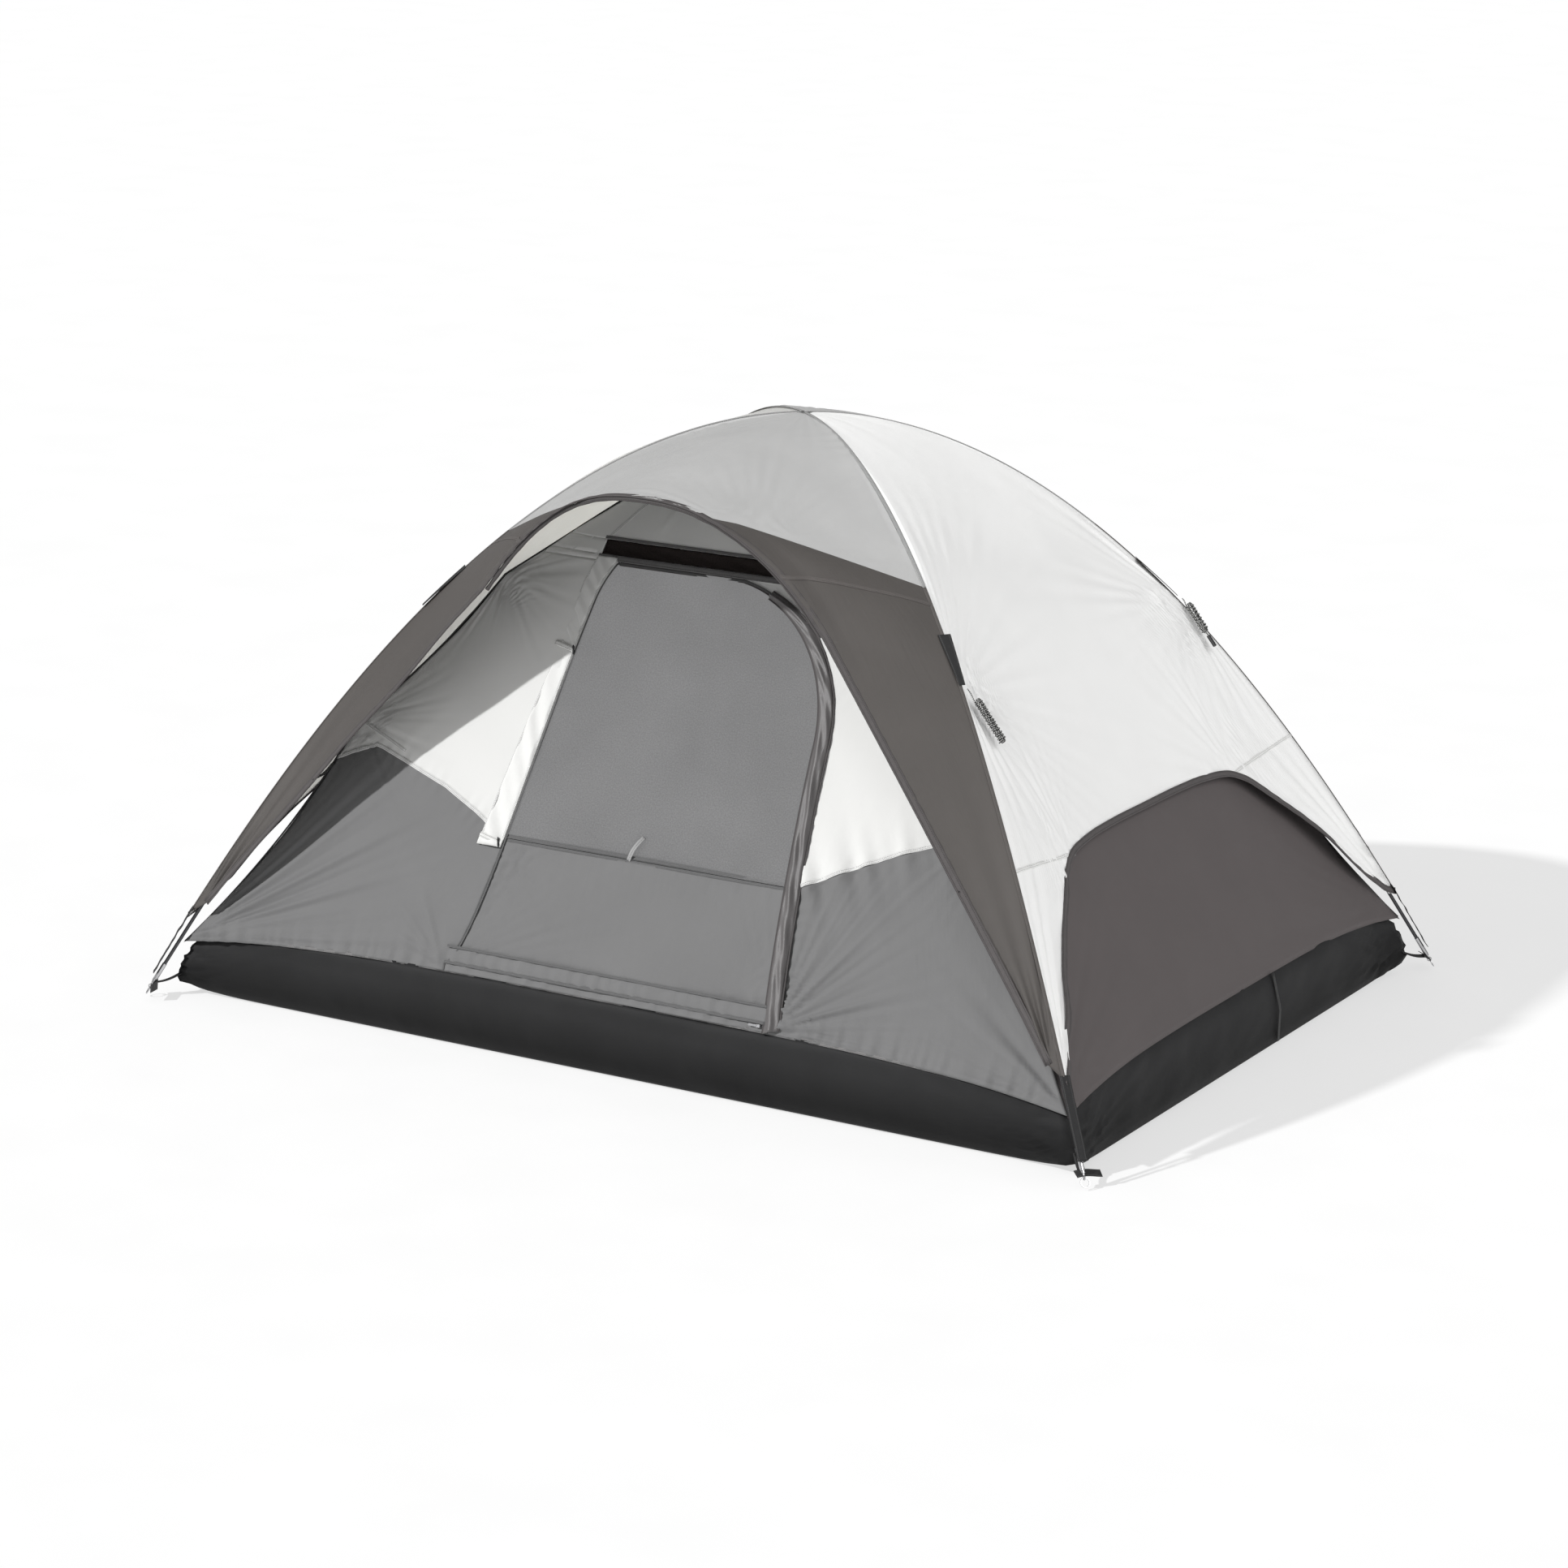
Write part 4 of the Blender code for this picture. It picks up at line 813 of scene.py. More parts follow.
def guyline(name, front, far, lead, turns, half, wy, wz, wrap_pitch, tail=None):
    """A strand from the exit, long turns laid back and forth, then close
    wraps round them from the exit to the far end."""
    e, d, n, a = hank_frame(front)
    r = CORD_D / 2
    pts = [e + n * 0.003, e + n * 0.0045 + d * lead * 0.4]
    x0 = lead + half
    run = far - x0 - half - r
    lap = 2 * run + TAU * half
    layer = CORD_D * 1.02
    per = 60
    core = []
    for k in range(int(turns * per) + 1):
        t = k / per
        q = (t % 1.0) * lap
        if q < run:
            x, y = x0 + q, -half
        elif q < run + math.pi * half:
            an = (q - run) / half
            x, y = x0 + run + math.sin(an) * half, -half * math.cos(an)
        elif q < 2 * run + math.pi * half:
            x, y = x0 + run - (q - run - math.pi * half), half
        else:
            an = (q - 2 * run - math.pi * half) / half
            x, y = x0 - math.sin(an) * half, half * math.cos(an)
        core.append(e + d * x + a * (y + 0.0006 * math.sin(t * 9)) + n * (0.0045 + layer * t))
    pts = pts + core
    mid = 0.0045 + layer * turns / 2
    wr = []
    xa, xb = lead + 0.006, far - 0.007
    wraps = (xb - xa) / wrap_pitch
    for k in range(int(wraps * 30) + 1):
        t = k / 30
        an = -math.pi / 2 - TAU * t
        sw = 1.0 + 0.07 * math.sin(t * 2.1)
        wr.append(e + d * (xa + wrap_pitch * t + 0.0012 * math.sin(t * 5.0))
                  + a * (wy * sw * math.sin(an)) + n * (mid + wz * math.cos(an) * -1))
    b0, b1 = core[-1], wr[0]
    tb, tw = unit(core[-1] - core[-2]), unit(wr[1] - wr[0])
    h = max(np.linalg.norm(b1 - b0), 0.018)
    ease = []
    for k in range(1, 14):
        t = k / 14
        ease.append((2 * t ** 3 - 3 * t ** 2 + 1) * b0 + (t ** 3 - 2 * t ** 2 + t) * tb * h
                    + (-2 * t ** 3 + 3 * t ** 2) * b1 + (t ** 3 - t ** 2) * tw * h)
    pts = pts + ease + wr
    if tail is not None:
        pts = pts + tail(wr[-1], unit(wr[-1] - wr[-2]), e, d, n, a)
    P = np.array(pts)
    s = arclen(P)
    q = np.linspace(0, s[-1], int(s[-1] / 0.0022))
    P = np.stack([np.interp(q, s, P[:, k]) for k in range(3)], -1)
    for _ in range(4):
        P[1:-1] = (P[:-2] + 2 * P[1:-1] + P[2:]) / 4
    body_name = "guyline_front_hank" if front else "guyline_rear_hank"
    ob = make_tube(name, P, r, M["braid"], sides=8, body=body_name)
    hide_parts("guyline_front" if front else "guyline_rear")
    L = float(arclen(P)[-1])
    print("CORD", name, round(L, 3))
    return ob, P, L, e


def rear_tail(p, t, e, d, n, a):
    """From the wraps down to the line tensioner."""
    target = e + n * 0.0085 + d * 0.1215
    out = []
    h = np.linalg.norm(target - p)
    for k in range(1, 30):
        u = k / 29
        q = ((2 * u ** 3 - 3 * u ** 2 + 1) * p + (u ** 3 - 2 * u ** 2 + u) * t * h * 0.9
             + (-2 * u ** 3 + 3 * u ** 2) * target + (u ** 3 - u ** 2) * d * h)
        q = q + n * 0.004 * math.sin(math.pi * u)
        out.append(q)
    return out


g_front, path_f, len_f, exit_f = guyline("guyline_front_cord", True, 0.160, 0.034, 3.0, 0.0072,
                                         0.0118, 0.0092, 0.0088)
g_rear, path_r, len_r, exit_r = guyline("guyline_rear_cord", False, 0.112, 0.020, 3.0, 0.0090,
                                        0.0138, 0.0092, 0.0100, tail=rear_tail)

# ------------------------------------------------------------------ poles
def pole_sections(letter, sg, h):
    n = 2400
    s = np.linspace(-S_TIP, S_TIP, n)
    P = pole_pt(s, sg, h)
    L = arclen(P)
    step = L[-1] / 5
    for k in range(5):
        a = k * step + (0.0003 if k else 0)
        b = (k + 1) * step - (0.0003 if k < 4 else 0)
        q = np.linspace(a, b, 60)
        path = np.stack([np.interp(q, L, P[:, c]) for c in range(3)], -1)
        ob = make_tube("tube_%s_%d" % (letter, k + 1), path, POLE_R, M["glass_pole"],
                       16, ROOT, up=tuple(pole_side(sg)))
        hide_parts("pole_%s_section_%d" % (letter, k + 1))
        if k < 4:
            q = np.linspace(b - 0.030, b + 0.040, 12)
            path = np.stack([np.interp(q, L, P[:, c]) for c in range(3)], -1)
            rad = [0.0052, 0.0062] + [0.0062] * 8 + [0.0062, 0.0057]
            fr = make_tube("ferrule_%s_%d" % (letter, k + 1), path, rad, M["steel"], 18,
                           ROOT, up=tuple(pole_side(sg)))
    # bright sleeve at each tip
    for end in (0, 1):
        q = np.linspace(0.0, 0.055, 8) if end == 0 else np.linspace(L[-1] - 0.055, L[-1], 8)
        path = np.stack([np.interp(q, L, P[:, c]) for c in range(3)], -1)
        cap = make_tube("tip_sleeve_%s_%d" % (letter, end), path, 0.0060, M["steel"], 18,
                        ROOT, up=tuple(pole_side(sg)))


pole_sections("a", 1, PH)
pole_sections("b", -1, PH - PSTEP)

# ------------------------------------------------------------------ inner tent
def edge_x(z):
    return inner_corner(z)[0]


def seam_left(t):
    """Height of the white/grey seam from the corner line (0) to the door (1)."""
    return np.interp(t, [0.0, 0.06, 0.17, 0.21, 0.36, 0.62, 0.82, 1.0],
                     [0.640, 0.662, 0.690, 0.686, 0.664, 0.622, 0.575, 0.522])


def seam_right(t):
    return np.interp(t, [0.0, 0.25, 0.5, 0.75, 1.0],
                     [0.523, 0.585, 0.640, 0.683, 0.717])


def lerp_grid(nu, nv):
    u = np.linspace(0, 1, nu + 1)
    v = np.linspace(0, 1, nv + 1)
    return np.meshgrid(u, v)


def corner_anchor(sx, sy, z=0.165):
    cx, cy = inner_corner(np.array(z))
    return np.array([sx * float(cx), sy * float(cy), z])


_u = np.linspace(0, 1, 91)


def seam_xz_left(u):
    z = seam_left(u)
    return -edge_x(z) * (1 - u) + door_left(np.maximum(z, DOOR_BOTTOM)) * u, z


def seam_xz_right(u):
    z = seam_right(u)
    return door_right(np.maximum(z, DOOR_BOTTOM)) * (1 - u) + edge_x(z) * u, z


SEAM_L = front_pt(*seam_xz_left(_u[::3]))
SEAM_R = front_pt(*seam_xz_right(_u[::3]))
_z = np.linspace(DOOR_BOTTOM, DOOR_TOP, 30)
DOOR_L = front_pt(door_left(_z), _z)
DOOR_R = front_pt(door_right(_z), _z)
_x = np.linspace(-1.26, 1.26, 50)
TUB_L = front_pt(_x, tub_top_front(_x))


def fan(P, A, rays, up):
    """Separate pull folds from A: (angle, length, half width, height)."""
    out = 0
    for ang, ln, w, amp in rays:
        a = math.radians(ang)
        d = np.array([math.cos(a) * up[0], 0.40 * math.sin(a) * up[1], 0.92 * math.sin(a)])
        ab = d * ln
        t = ((P - A) @ ab) / (ab @ ab)
        q = P - (A + np.clip(t, 0, 1.2)[..., None] * ab)
        dist = np.linalg.norm(q, axis=-1)
        ww = w * (0.45 + 1.1 * np.clip(t, 0, 1))
        env = np.clip(t / 0.10, 0, 1) * np.clip((1.05 - t) / 0.7, 0, 1)
        out = out + amp * env * np.exp(-(dist / ww) ** 2)
    return out


def wall_field(P):
    """How far the front wall stands out of its smooth shape."""
    x, z = P[..., 0], P[..., 2]
    D = soft_noise(P, 41, 0.55, 0.0024) + soft_noise(P, 42, 0.21, 0.0010)
    for sx in (-1, 1):
        for zc in CLIP_Z:
            cx, cy = inner_corner(np.array(zc))
            A = (sx * float(cx), -float(cy), zc)
            D = D + radial_folds(P, A, (-sx, 0, 0), (0, 0.5, 0.85), 34, 0.0040, 0.09, 46)
    A0, A1 = corner_anchor(-1, -1), corner_anchor(1, -1)
    D = D + radial_folds(P, A0, (1, 0, 0), (0, 0.4, 0.9), 66, 0.0060, 0.26, 11, 0.10)
    D = D + fan(P, A0, ((52, 0.60, 0.010, 0.012), (47, 0.70, 0.009, -0.010), (42.5, 0.74, 0.011, 0.014),
                        (38, 0.66, 0.008, -0.009), (33.5, 0.70, 0.010, 0.012), (28.5, 0.60, 0.009, -0.007),
                        (24, 0.62, 0.010, 0.010), (18, 0.52, 0.010, 0.008), (11, 0.40, 0.010, 0.008)), (1, 1))
    D = D + radial_folds(P, A1, (-1, 0, 0), (0, 0.4, 0.9), 46, 0.0045, 0.20, 12, 0.10)
    D = D + fan(P, A1, ((50, 0.42, 0.013, 0.006), (38, 0.50, 0.014, -0.005), (29, 0.42, 0.012, 0.006),
                        (20, 0.40, 0.012, 0.005)), (-1, 1))
    foot = front_pt(np.array(0.475), np.array(0.212))
    D = D + radial_folds(P, foot, (1, 0, 0), (0, 0.4, 0.9), 64, 0.0060, 0.15, 15, 0.05)
    D = D + fan(P, foot, ((12, 0.30, 0.009, 0.006), (24, 0.36, 0.010, 0.007), (38, 0.32, 0.010, 0.006),
                          (53, 0.34, 0.010, 0.007), (68, 0.30, 0.009, 0.006)), (1, 1))
    footl = front_pt(np.array(-0.505), np.array(0.212))
    D = D + fan(P, footl, ((20, 0.22, 0.008, 0.005), (38, 0.26, 0.009, 0.005), (58, 0.24, 0.009, 0.005)), (-1, 1))
    D = D + puckers(P, SEAM_R, 0.06, 0.0050, 0.045, 34) * (z < 0.80)
    D = D + puckers(P, SEAM_L, 0.05, 0.0016, 0.022, 32)
    D = D + puckers(P, TUB_L, 0.045, 0.0028, 0.035, 31)
    D = D + puckers(P, DOOR_R, 0.05, 0.0030, 0.030, 35) * (x > 0)
    D = D + puckers(P, DOOR_L, 0.05, 0.0012, 0.025, 33) * (x < 0)
    D = D + along_folds(P, (-0.62, -0.46, 1.13), (-0.38, -0.43, 1.17), 0.012, -0.004)
    D = D + along_folds(P, (-0.16, -0.13, 1.43), (-0.22, -0.38, 1.26), 0.012, 0.006)
    D = D + along_folds(P, (-0.13, -0.12, 1.44), (-0.10, -0.34, 1.30), 0.010, 0.005)
    # held flat at the door and the vent
    D = D * (0.35 + 0.65 * np.clip(near_line(P, DOOR_L)[0] / 0.03, 0, 1))
    D = D * (0.35 + 0.65 * np.clip(near_line(P, DOOR_R)[0] / 0.03, 0, 1))
    vent = (np.abs(x) < VENT_HALF + 0.02) * np.exp(-np.maximum(np.abs(z - 1.223) - 0.018, 0) / 0.012)
    return D * (1 - vent)


def wall_patch(G, mat):
    return Patch(G, mat, wall_field(G))


N_U = 90
# -- left of the door
U, V = lerp_grid(N_U, 76)
xb = -edge_x(np.full_like(U, 0.15)) * (1 - U) + door_left(np.full_like(U, 0.222)) * U
zb = tub_top_front(xb) - 0.004
Z = zb + (seam_left(U) - zb) * V
X = -edge_x(Z) * (1 - U) + (door_left(np.maximum(Z, DOOR_BOTTOM)) - 0.0015) * U
lower_left = wall_patch(front_pt(X, Z), 1)
U, V = lerp_grid(N_U, 80)
zb = seam_left(U)
Z = zb + (DOOR_TOP - zb) * V
X = -edge_x(Z) * (1 - U) + (door_left(Z) - 0.0015) * U
upper_left = wall_patch(front_pt(X, Z), 0)
# -- right of the door
U, V = lerp_grid(N_U, 76)
xb = (door_right(np.full_like(U, 0.222)) + 0.0015) * (1 - U) + edge_x(np.full_like(U, 0.15)) * U
zb = tub_top_front(xb) - 0.004
Z = zb + (seam_right(U) - zb) * V
X = (door_right(np.maximum(Z, DOOR_BOTTOM)) + 0.0015) * (1 - U) + edge_x(Z) * U
lower_right = wall_patch(front_pt(X, Z), 1)
U, V = lerp_grid(N_U, 110)
zb = seam_right(U)
g = 1 - (1 - V) ** 2
Z = zb + (DOOR_TOP - zb) * g
X = (door_right(Z) + 0.0015) * (1 - U) + edge_x(Z) * U
upper_right = wall_patch(front_pt(X, Z), 0)
# -- sill under the door
U, V = lerp_grid(80, 6)
X = door_left(np.full_like(U, 0.222)) * (1 - U) + door_right(np.full_like(U, 0.222)) * U
zb = tub_top_front(X) - 0.004
Z = zb + (DOOR_BOTTOM + 0.004 - zb) * V
sill = wall_patch(front_pt(X, Z), 1)


def full_row(z0, z1, x0, x1, nv, nu):
    U, V = lerp_grid(nu, nv)
    Z = z0 + (z1 - z0) * V
    a = -edge_x(Z) if x0 is None else np.full_like(Z, x0)
    b = edge_x(Z) if x1 is None else np.full_like(Z, x1)
    return front_pt(a * (1 - U) + b * U, Z)


rows = [wall_patch(full_row(DOOR_TOP, VENT_BOTTOM, None, None, 2, 140), 0),
        wall_patch(full_row(VENT_BOTTOM, VENT_TOP, None, -VENT_HALF, 4, 24), 0),
        wall_patch(full_row(VENT_BOTTOM, VENT_TOP, VENT_HALF, None, 4, 24), 0),
        wall_patch(full_row(VENT_TOP, 1.462, None, None, 50, 140), 0)]
wall = make_sheet("front_wall_cloth", [upper_left, upper_right, lower_left, lower_right, sill] + rows,
                  [M["wall_white"], M["wall_grey"]], 0.0006, ROOT)
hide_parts("front_wall")


def on_front(line, name, width, mat, lift=0.0006, **kw):
    L = np.array(line, float)
    return make_tape(name, L, front_nrm(L[:, 2]), width, mat, lift=lift, thick=0.0008, **kw)


def on_wall(x, z, name, width, mat, lift=0.0012, **kw):
    """Tape lying on the rumpled front wall."""
    P = front_pt(x, z)
    P = P + front_nrm(P[:, 2]) * wall_field(P)[:, None]
    return on_front(P, name, width, mat, lift=lift, **kw)


x, z = seam_xz_left(np.linspace(0.004, 0.985, 120))
on_wall(x, z + 0.004, "wall_seam_left", 0.010, M["seam_white"])
x, z = seam_xz_right(np.linspace(0.03, 0.996, 120))
on_wall(x, z + 0.004, "wall_seam_right", 0.010, M["seam_white"])
# stitched brace from the lower clip to the seam
cx, cy = inner_corner(np.array(CLIP_Z[0]))
t = np.linspace(0.02, 1, 24)
on_wall(-float(cx) + 0.165 * t, CLIP_Z[0] + (0.690 - CLIP_Z[0]) * t, "clip_brace_left", 0.009, M["seam_white"], lift=0.0016)
t = np.linspace(0, 1, 20)
on_wall(-VENT_HALF + (VENT_HALF - 0.235) * t, VENT_TOP + 0.165 * t, "peak_seam_left", 0.010, M["seam_white"])
on_wall(VENT_HALF - (VENT_HALF - 0.235) * t, VENT_TOP + 0.165 * t, "peak_seam_right", 0.010, M["seam_white"])

# rear wall
U, V = lerp_grid(120, 110)
Z = 0.15 + (1.462 - 0.15) * V
X = -edge_x(Z) * (1 - U) + edge_x(Z) * U
zt0 = tub_top_front(X) - 0.012
Z = zt0 + (1.462 - zt0) * V
X = -edge_x(Z) * (1 - U) + edge_x(Z) * U
G = front_pt(X, Z, side=1.0)
D = soft_noise(G, 61, 0.35, 0.003)
for sx in (-1, 1):
    D += radial_folds(G, corner_anchor(sx, 1), (-sx, 0, 0), (0, -0.4, 0.9), 46, 0.005, 0.25, 62 + sx, 0.1)
cut = 44
rear = make_sheet("rear_wall_cloth", [Patch(G[:cut + 1], 1, D[:cut + 1]), Patch(G[cut:], 0, D[cut:])],
                  [M["wall_white"], M["wall_grey"]], 0.0006, ROOT)
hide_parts("rear_wall")
L = G[cut] + np.array([0, 0.001, 0])
make_tape("rear_wall_seam", L, front_nrm(L[:, 2], 1.0), 0.012, M["bind_grey"], lift=0.0006, thick=0.0008)

# side walls
for side, nm in ((1.0, "right"), (-1.0, "left")):
    U, V = lerp_grid(110, 110)
    Y = -1 + 2 * U
    Z = 0.15 + (1.462 - 0.15) * V
    zt0 = tub_top_side(Y * 0.94) - 0.012
    Z = zt0 + (1.462 - zt0) * V
    cy = inner_corner(Z)[1]
    G = side_pt(Y * cy, Z, side)
    D = soft_noise(G, 71, 0.35, 0.0025)
    for sy in (-1, 1):
        D += radial_folds(G, corner_anchor(side, sy), (0, -sy, 0), (-0.4 * side, 0, 0.9), 40, 0.0045, 0.22, 72 + sy, 0.1)
        D += along_folds(G, corner_anchor(side, sy), (side * 1.13, sy * 0.62, 0.46), 0.02, 0.003)
    cut = 78
    w = make_sheet("%s_wall_cloth" % nm, [Patch(G[:cut + 1], 0, D[:cut + 1]), Patch(G[cut:], 1, D[cut:])],
                   [M["wall_taupe"], M["wall_white"]], 0.0006, ROOT)
    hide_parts("%s_wall" % nm)

# roof: a small netting cap and the peak above the walls
U, V = lerp_grid(64, 12)
ang = U * 4.0
k = np.floor(ang).clip(0, 3)
f = ang - k
Z = 1.462 + (INNER_H - 0.0005 - 1.462) * V
cx, cy = inner_corner(Z)
sx = np.select([k == 0, k == 1, k == 2, k == 3], [-1 + 2 * f, np.ones_like(f), 1 - 2 * f, -np.ones_like(f)])
sy = np.select([k == 0, k == 1, k == 2, k == 3], [-np.ones_like(f), -1 + 2 * f, np.ones_like(f), 1 - 2 * f])
G = np.stack([sx * cx, sy * cy, Z], -1)
roof = make_sheet("roof_net", [Patch(G, 0)], [M["roof_net"]], 0.0006, ROOT)
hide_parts("roof_mesh")

# corner piping
for sx in (-1, 1):
    for sy in (-1, 1):
        z = np.linspace(0.15, 1.46, 140)
        cx, cy = inner_corner(z)
        line = np.stack([sx * cx, sy * cy, z], -1) + unit(np.array([sx * 0.7, sy * 0.7, 0.2])) * 0.001
        p = make_tube("corner_piping_%s_%s" % ("r" if sx > 0 else "l", "rear" if sy > 0 else "front"),
                      line, 0.0022, M["pipe"], 8, ROOT)

# ------------------------------------------------------------------ tub floor
def tub_surface():
    nu = 420
    per = np.linspace(0, 1, nu + 1)
    rows = []
    # rounded rectangle path by length, with the corners pulled outwards
    hx, hy, r = 1.0, 1.0, 0.0

    def ring(ax, ay, rad, zf, pull, zfun, lift=0.0):
        pts = []
        Lx, Ly = 2 * (ax - rad), 2 * (ay - rad)
        arc = math.pi / 2 * rad
        total = 2 * Lx + 2 * Ly + 4 * arc
        out = []
        for t in per:
            q = (t * total) % total
            segs = [("f", Lx), ("c1", arc), ("r", Ly), ("c2", arc), ("b", Lx), ("c3", arc), ("l", Ly), ("c4", arc)]
            for nm, ln in segs:
                if q <= ln or nm == "c4":
                    break
                q -= ln
            f = min(q / ln, 1.0) if ln > 0 else 0
            if nm == "f":
                x, y = -ax + rad + f * Lx, -ay
            elif nm == "r":
                x, y = ax, -ay + rad + f * Ly
            elif nm == "b":
                x, y = ax - rad - f * Lx, ay
            elif nm == "l":
                x, y = -ax, ay - rad - f * Ly
            else:
                a0 = {"c1": -90, "c2": 0, "c3": 90, "c4": 180}[nm]
                ccx, ccy = {"c1": (ax - rad, -ay + rad), "c2": (ax - rad, ay - rad),
                            "c3": (-ax + rad, ay - rad), "c4": (-ax + rad, -ay + rad)}[nm]
                a = math.radians(a0 + 90 * f)
                x, y = ccx + rad * math.cos(a), ccy + rad * math.sin(a)
            # pull the corner outwards
            dcx, dcy = ax - abs(x), ay - abs(y)
            w = math.exp(-(dcx + dcy) / 0.055)
            px, py = math.copysign(1, x) * 0.72, math.copysign(1, y) * 0.70
            x += px * pull * w
            y += py * pull * w
            z = zfun(x, y) if callable(zfun) else zf
            out.append((x, y, z + lift * w))
        return np.array(out)

    def top_z(x, y):
        fx, fy = abs(x) / 1.28, abs(y) / 0.95
        if fx >= fy * 0.999 and fx > 0.985:
            return float(tub_top_side(np.array(y)))
        return float(tub_top_front(np.array(x)))

    tx, ty = inner_half(np.array(0.195))
    rows.append(ring(0.20, 0.10, 0.01, 0.0006, 0, None))
    rows.append(ring(0.80, 0.50, 0.02, 0.0006, 0, None))
    rows.append(ring(1.20, 0.84, 0.03, 0.0006, 0, None))
    rows.append(ring(1.290, 0.914, 0.02, 0.0006, 0.018, None, 0.014))
    rows.append(ring(1.306, 0.930, 0.012, 0.0030, 0.040, None, 0.026))
    rows.append(ring(1.312, 0.937, 0.008, 0.0100, 0.050, None, 0.026))
    for f in np.linspace(0.12, 1.0, 15):
        ax = 1.314 - 0.026 * f ** 1.5 + 0.006 * math.sin(math.pi * f)
        ay = 0.940 + 0.014 * math.sin(math.pi * f * 0.9) + 0.004 * f
        R = ring(ax, ay, 0.006 - 0.004 * f, 0, 0.050 * (1 - f) ** 1.2, None)
        tz = np.array([top_z(x, y) for x, y, _ in R])
        cw = np.exp(-((1.312 - np.abs(R[:, 0])).clip(0) + (0.937 - np.abs(R[:, 1])).clip(0)) / 0.055)
        low = 0.010 + 0.026 * cw
        R[:, 2] = low + (tz - low) * (f - 0.02)
        if f > 0.55:
            # the upper edge comes in to the sewn line of the walls
            k = (f - 0.55) / 0.45
            cx, cy = inner_corner(R[:, 2])
            R[:, 0] = R[:, 0] * (1 - k) + np.sign(R[:, 0]) * np.minimum(np.abs(R[:, 0]), cx + 0.002) * k
            R[:, 1] = R[:, 1] * (1 - k) + np.sign(R[:, 1]) * np.minimum(np.abs(R[:, 1]), cy + 0.002) * k
        rows.append(R)
    return np.array(rows)


T = tub_surface()
D = soft_noise(T, 81, 0.22, 0.0026) + soft_noise(T, 82, 0.07, 0.0008)
D *= np.clip((T[..., 2] - 0.004) / 0.04, 0, 1)
for sx in (-1, 1):
    for sy in (-1, 1):
        A = np.array([sx * 1.345, sy * 0.963, 0.02])
        D += np.clip((T[..., 2] - 0.004) / 0.02, 0, 1) * radial_folds(
            T, A, (-sx * 0.8, -sy * 0.6, 0), (0, 0, 1), 44, 0.007, 0.16, 90 + sx + 2 * sy, 0.03)
# the middle of the floor, lapped over the innermost ring
U, V = lerp_grid(24, 14)
mid = np.stack([-0.206 + 0.412 * U, -0.106 + 0.212 * V, 0.0020 + 0 * U], -1)
tub = make_sheet("tub_cloth", [Patch(T, 0, D, outward=(0, 0, 0.1)), Patch(mid, 0)], [M["tub"]], 0.0010, ROOT)
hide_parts("floor_tub")
# sewn line where the walls meet the tub
TT = T[-1]
nrm = np.stack([TT[:, 0] * 0.3, TT[:, 1] * 0.6, np.full(len(TT), 0.4)], -1)
make_tape("tub_top_seam", TT + unit(nrm) * 0.0010, nrm, 0.010, M["bind_grey"], lift=0.0008, thick=0.0008)
# upright seam on the right side of the tub
zz = np.linspace(0.012, 0.192, 14)
xs = np.interp(zz, [0.0, 0.1, 0.2], [1.316, 1.318, 1.292])
make_tape("tub_side_seam", np.stack([xs + 0.0015, np.full_like(zz, 0.20), zz], -1), (1, 0, 0.1), 0.012,
          stitched("tub_seam", (0.02, 0.02, 0.02), rough=0.5), lift=0.0006)

# ------------------------------------------------------------------ door
def door_pts(u, z, inset=0.002, out=0.0):
    a, b = door_left(z) + inset, door_right(z) - inset
    return front_pt(a + (b - a) * u, z, out)


U, V = lerp_grid(90, 36)
Z = DOOR_BOTTOM + 0.0025 + (DOOR_SEAM - 0.0008 - DOOR_BOTTOM - 0.0025) * V
G = door_pts(U, Z)
tie = np.array(front_pt(np.array(-0.42), np.array(0.525)))
D = radial_folds(G, tie, (1, 0, 0), (0, 0.3, -0.95), 60, 0.0055, 0.10, 101, 0.03)
D += radial_folds(G, G[0, 0], (1, 0, 0), (0, 0.3, 0.95), 50, 0.0060, 0.10, 102, 0.03)
D += radial_folds(G, G[0, -1], (-1, 0, 0), (0, 0.3, 0.95), 50, 0.0065, 0.10, 103, 0.03)
D += soft_noise(G, 104, 0.25, 0.0022)
D += puckers(G, G[0] + np.array([0, 0, 0.035]), 0.09, 0.0030, 0.012, 105)
D += puckers(G, G[-1], 0.05, 0.0012, 0.02, 106)
D = 0.0015 + D * np.clip(np.minimum(np.minimum(U, 1 - U) / 0.03, np.minimum(V, 1 - V) / 0.08), 0.12, 1)
lower = make_sheet("door_lower_cloth", [Patch(G, 0, D)], [M["wall_grey"]], 0.0006, DOOR)
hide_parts("door_panel")
# flap over the bottom zip
U, V = lerp_grid(110, 8)
xa, xb = -0.497, 0.462
X = xa + (xb - xa) * U
Z = 0.2195 + 0.040 * V
rise = 0.0022 + 0.0035 * np.sin(np.pi * (V * 0.85 + 0.1)) + 0.0012 * noise1(X * 9, 7) * V + 0.0010 * noise1(X * 21, 8)
G = front_pt(X, Z, rise)
flap0 = make_sheet("door_zip_cover", [Patch(G, 0)], [M["wall_grey"]], 0.0007, DOOR)
x = np.linspace(xa, xb, 80)
on_front(front_pt(x, 0.2215 + 0 * x, 0.0045), "door_zip_cover_hem", 0.008, M["seam_grey"], body=DOOR)
on_front(front_pt(x, 0.2590 + 0 * x, 0.0062), "door_zip_cover_top", 0.007, M["seam_grey"], body=DOOR)

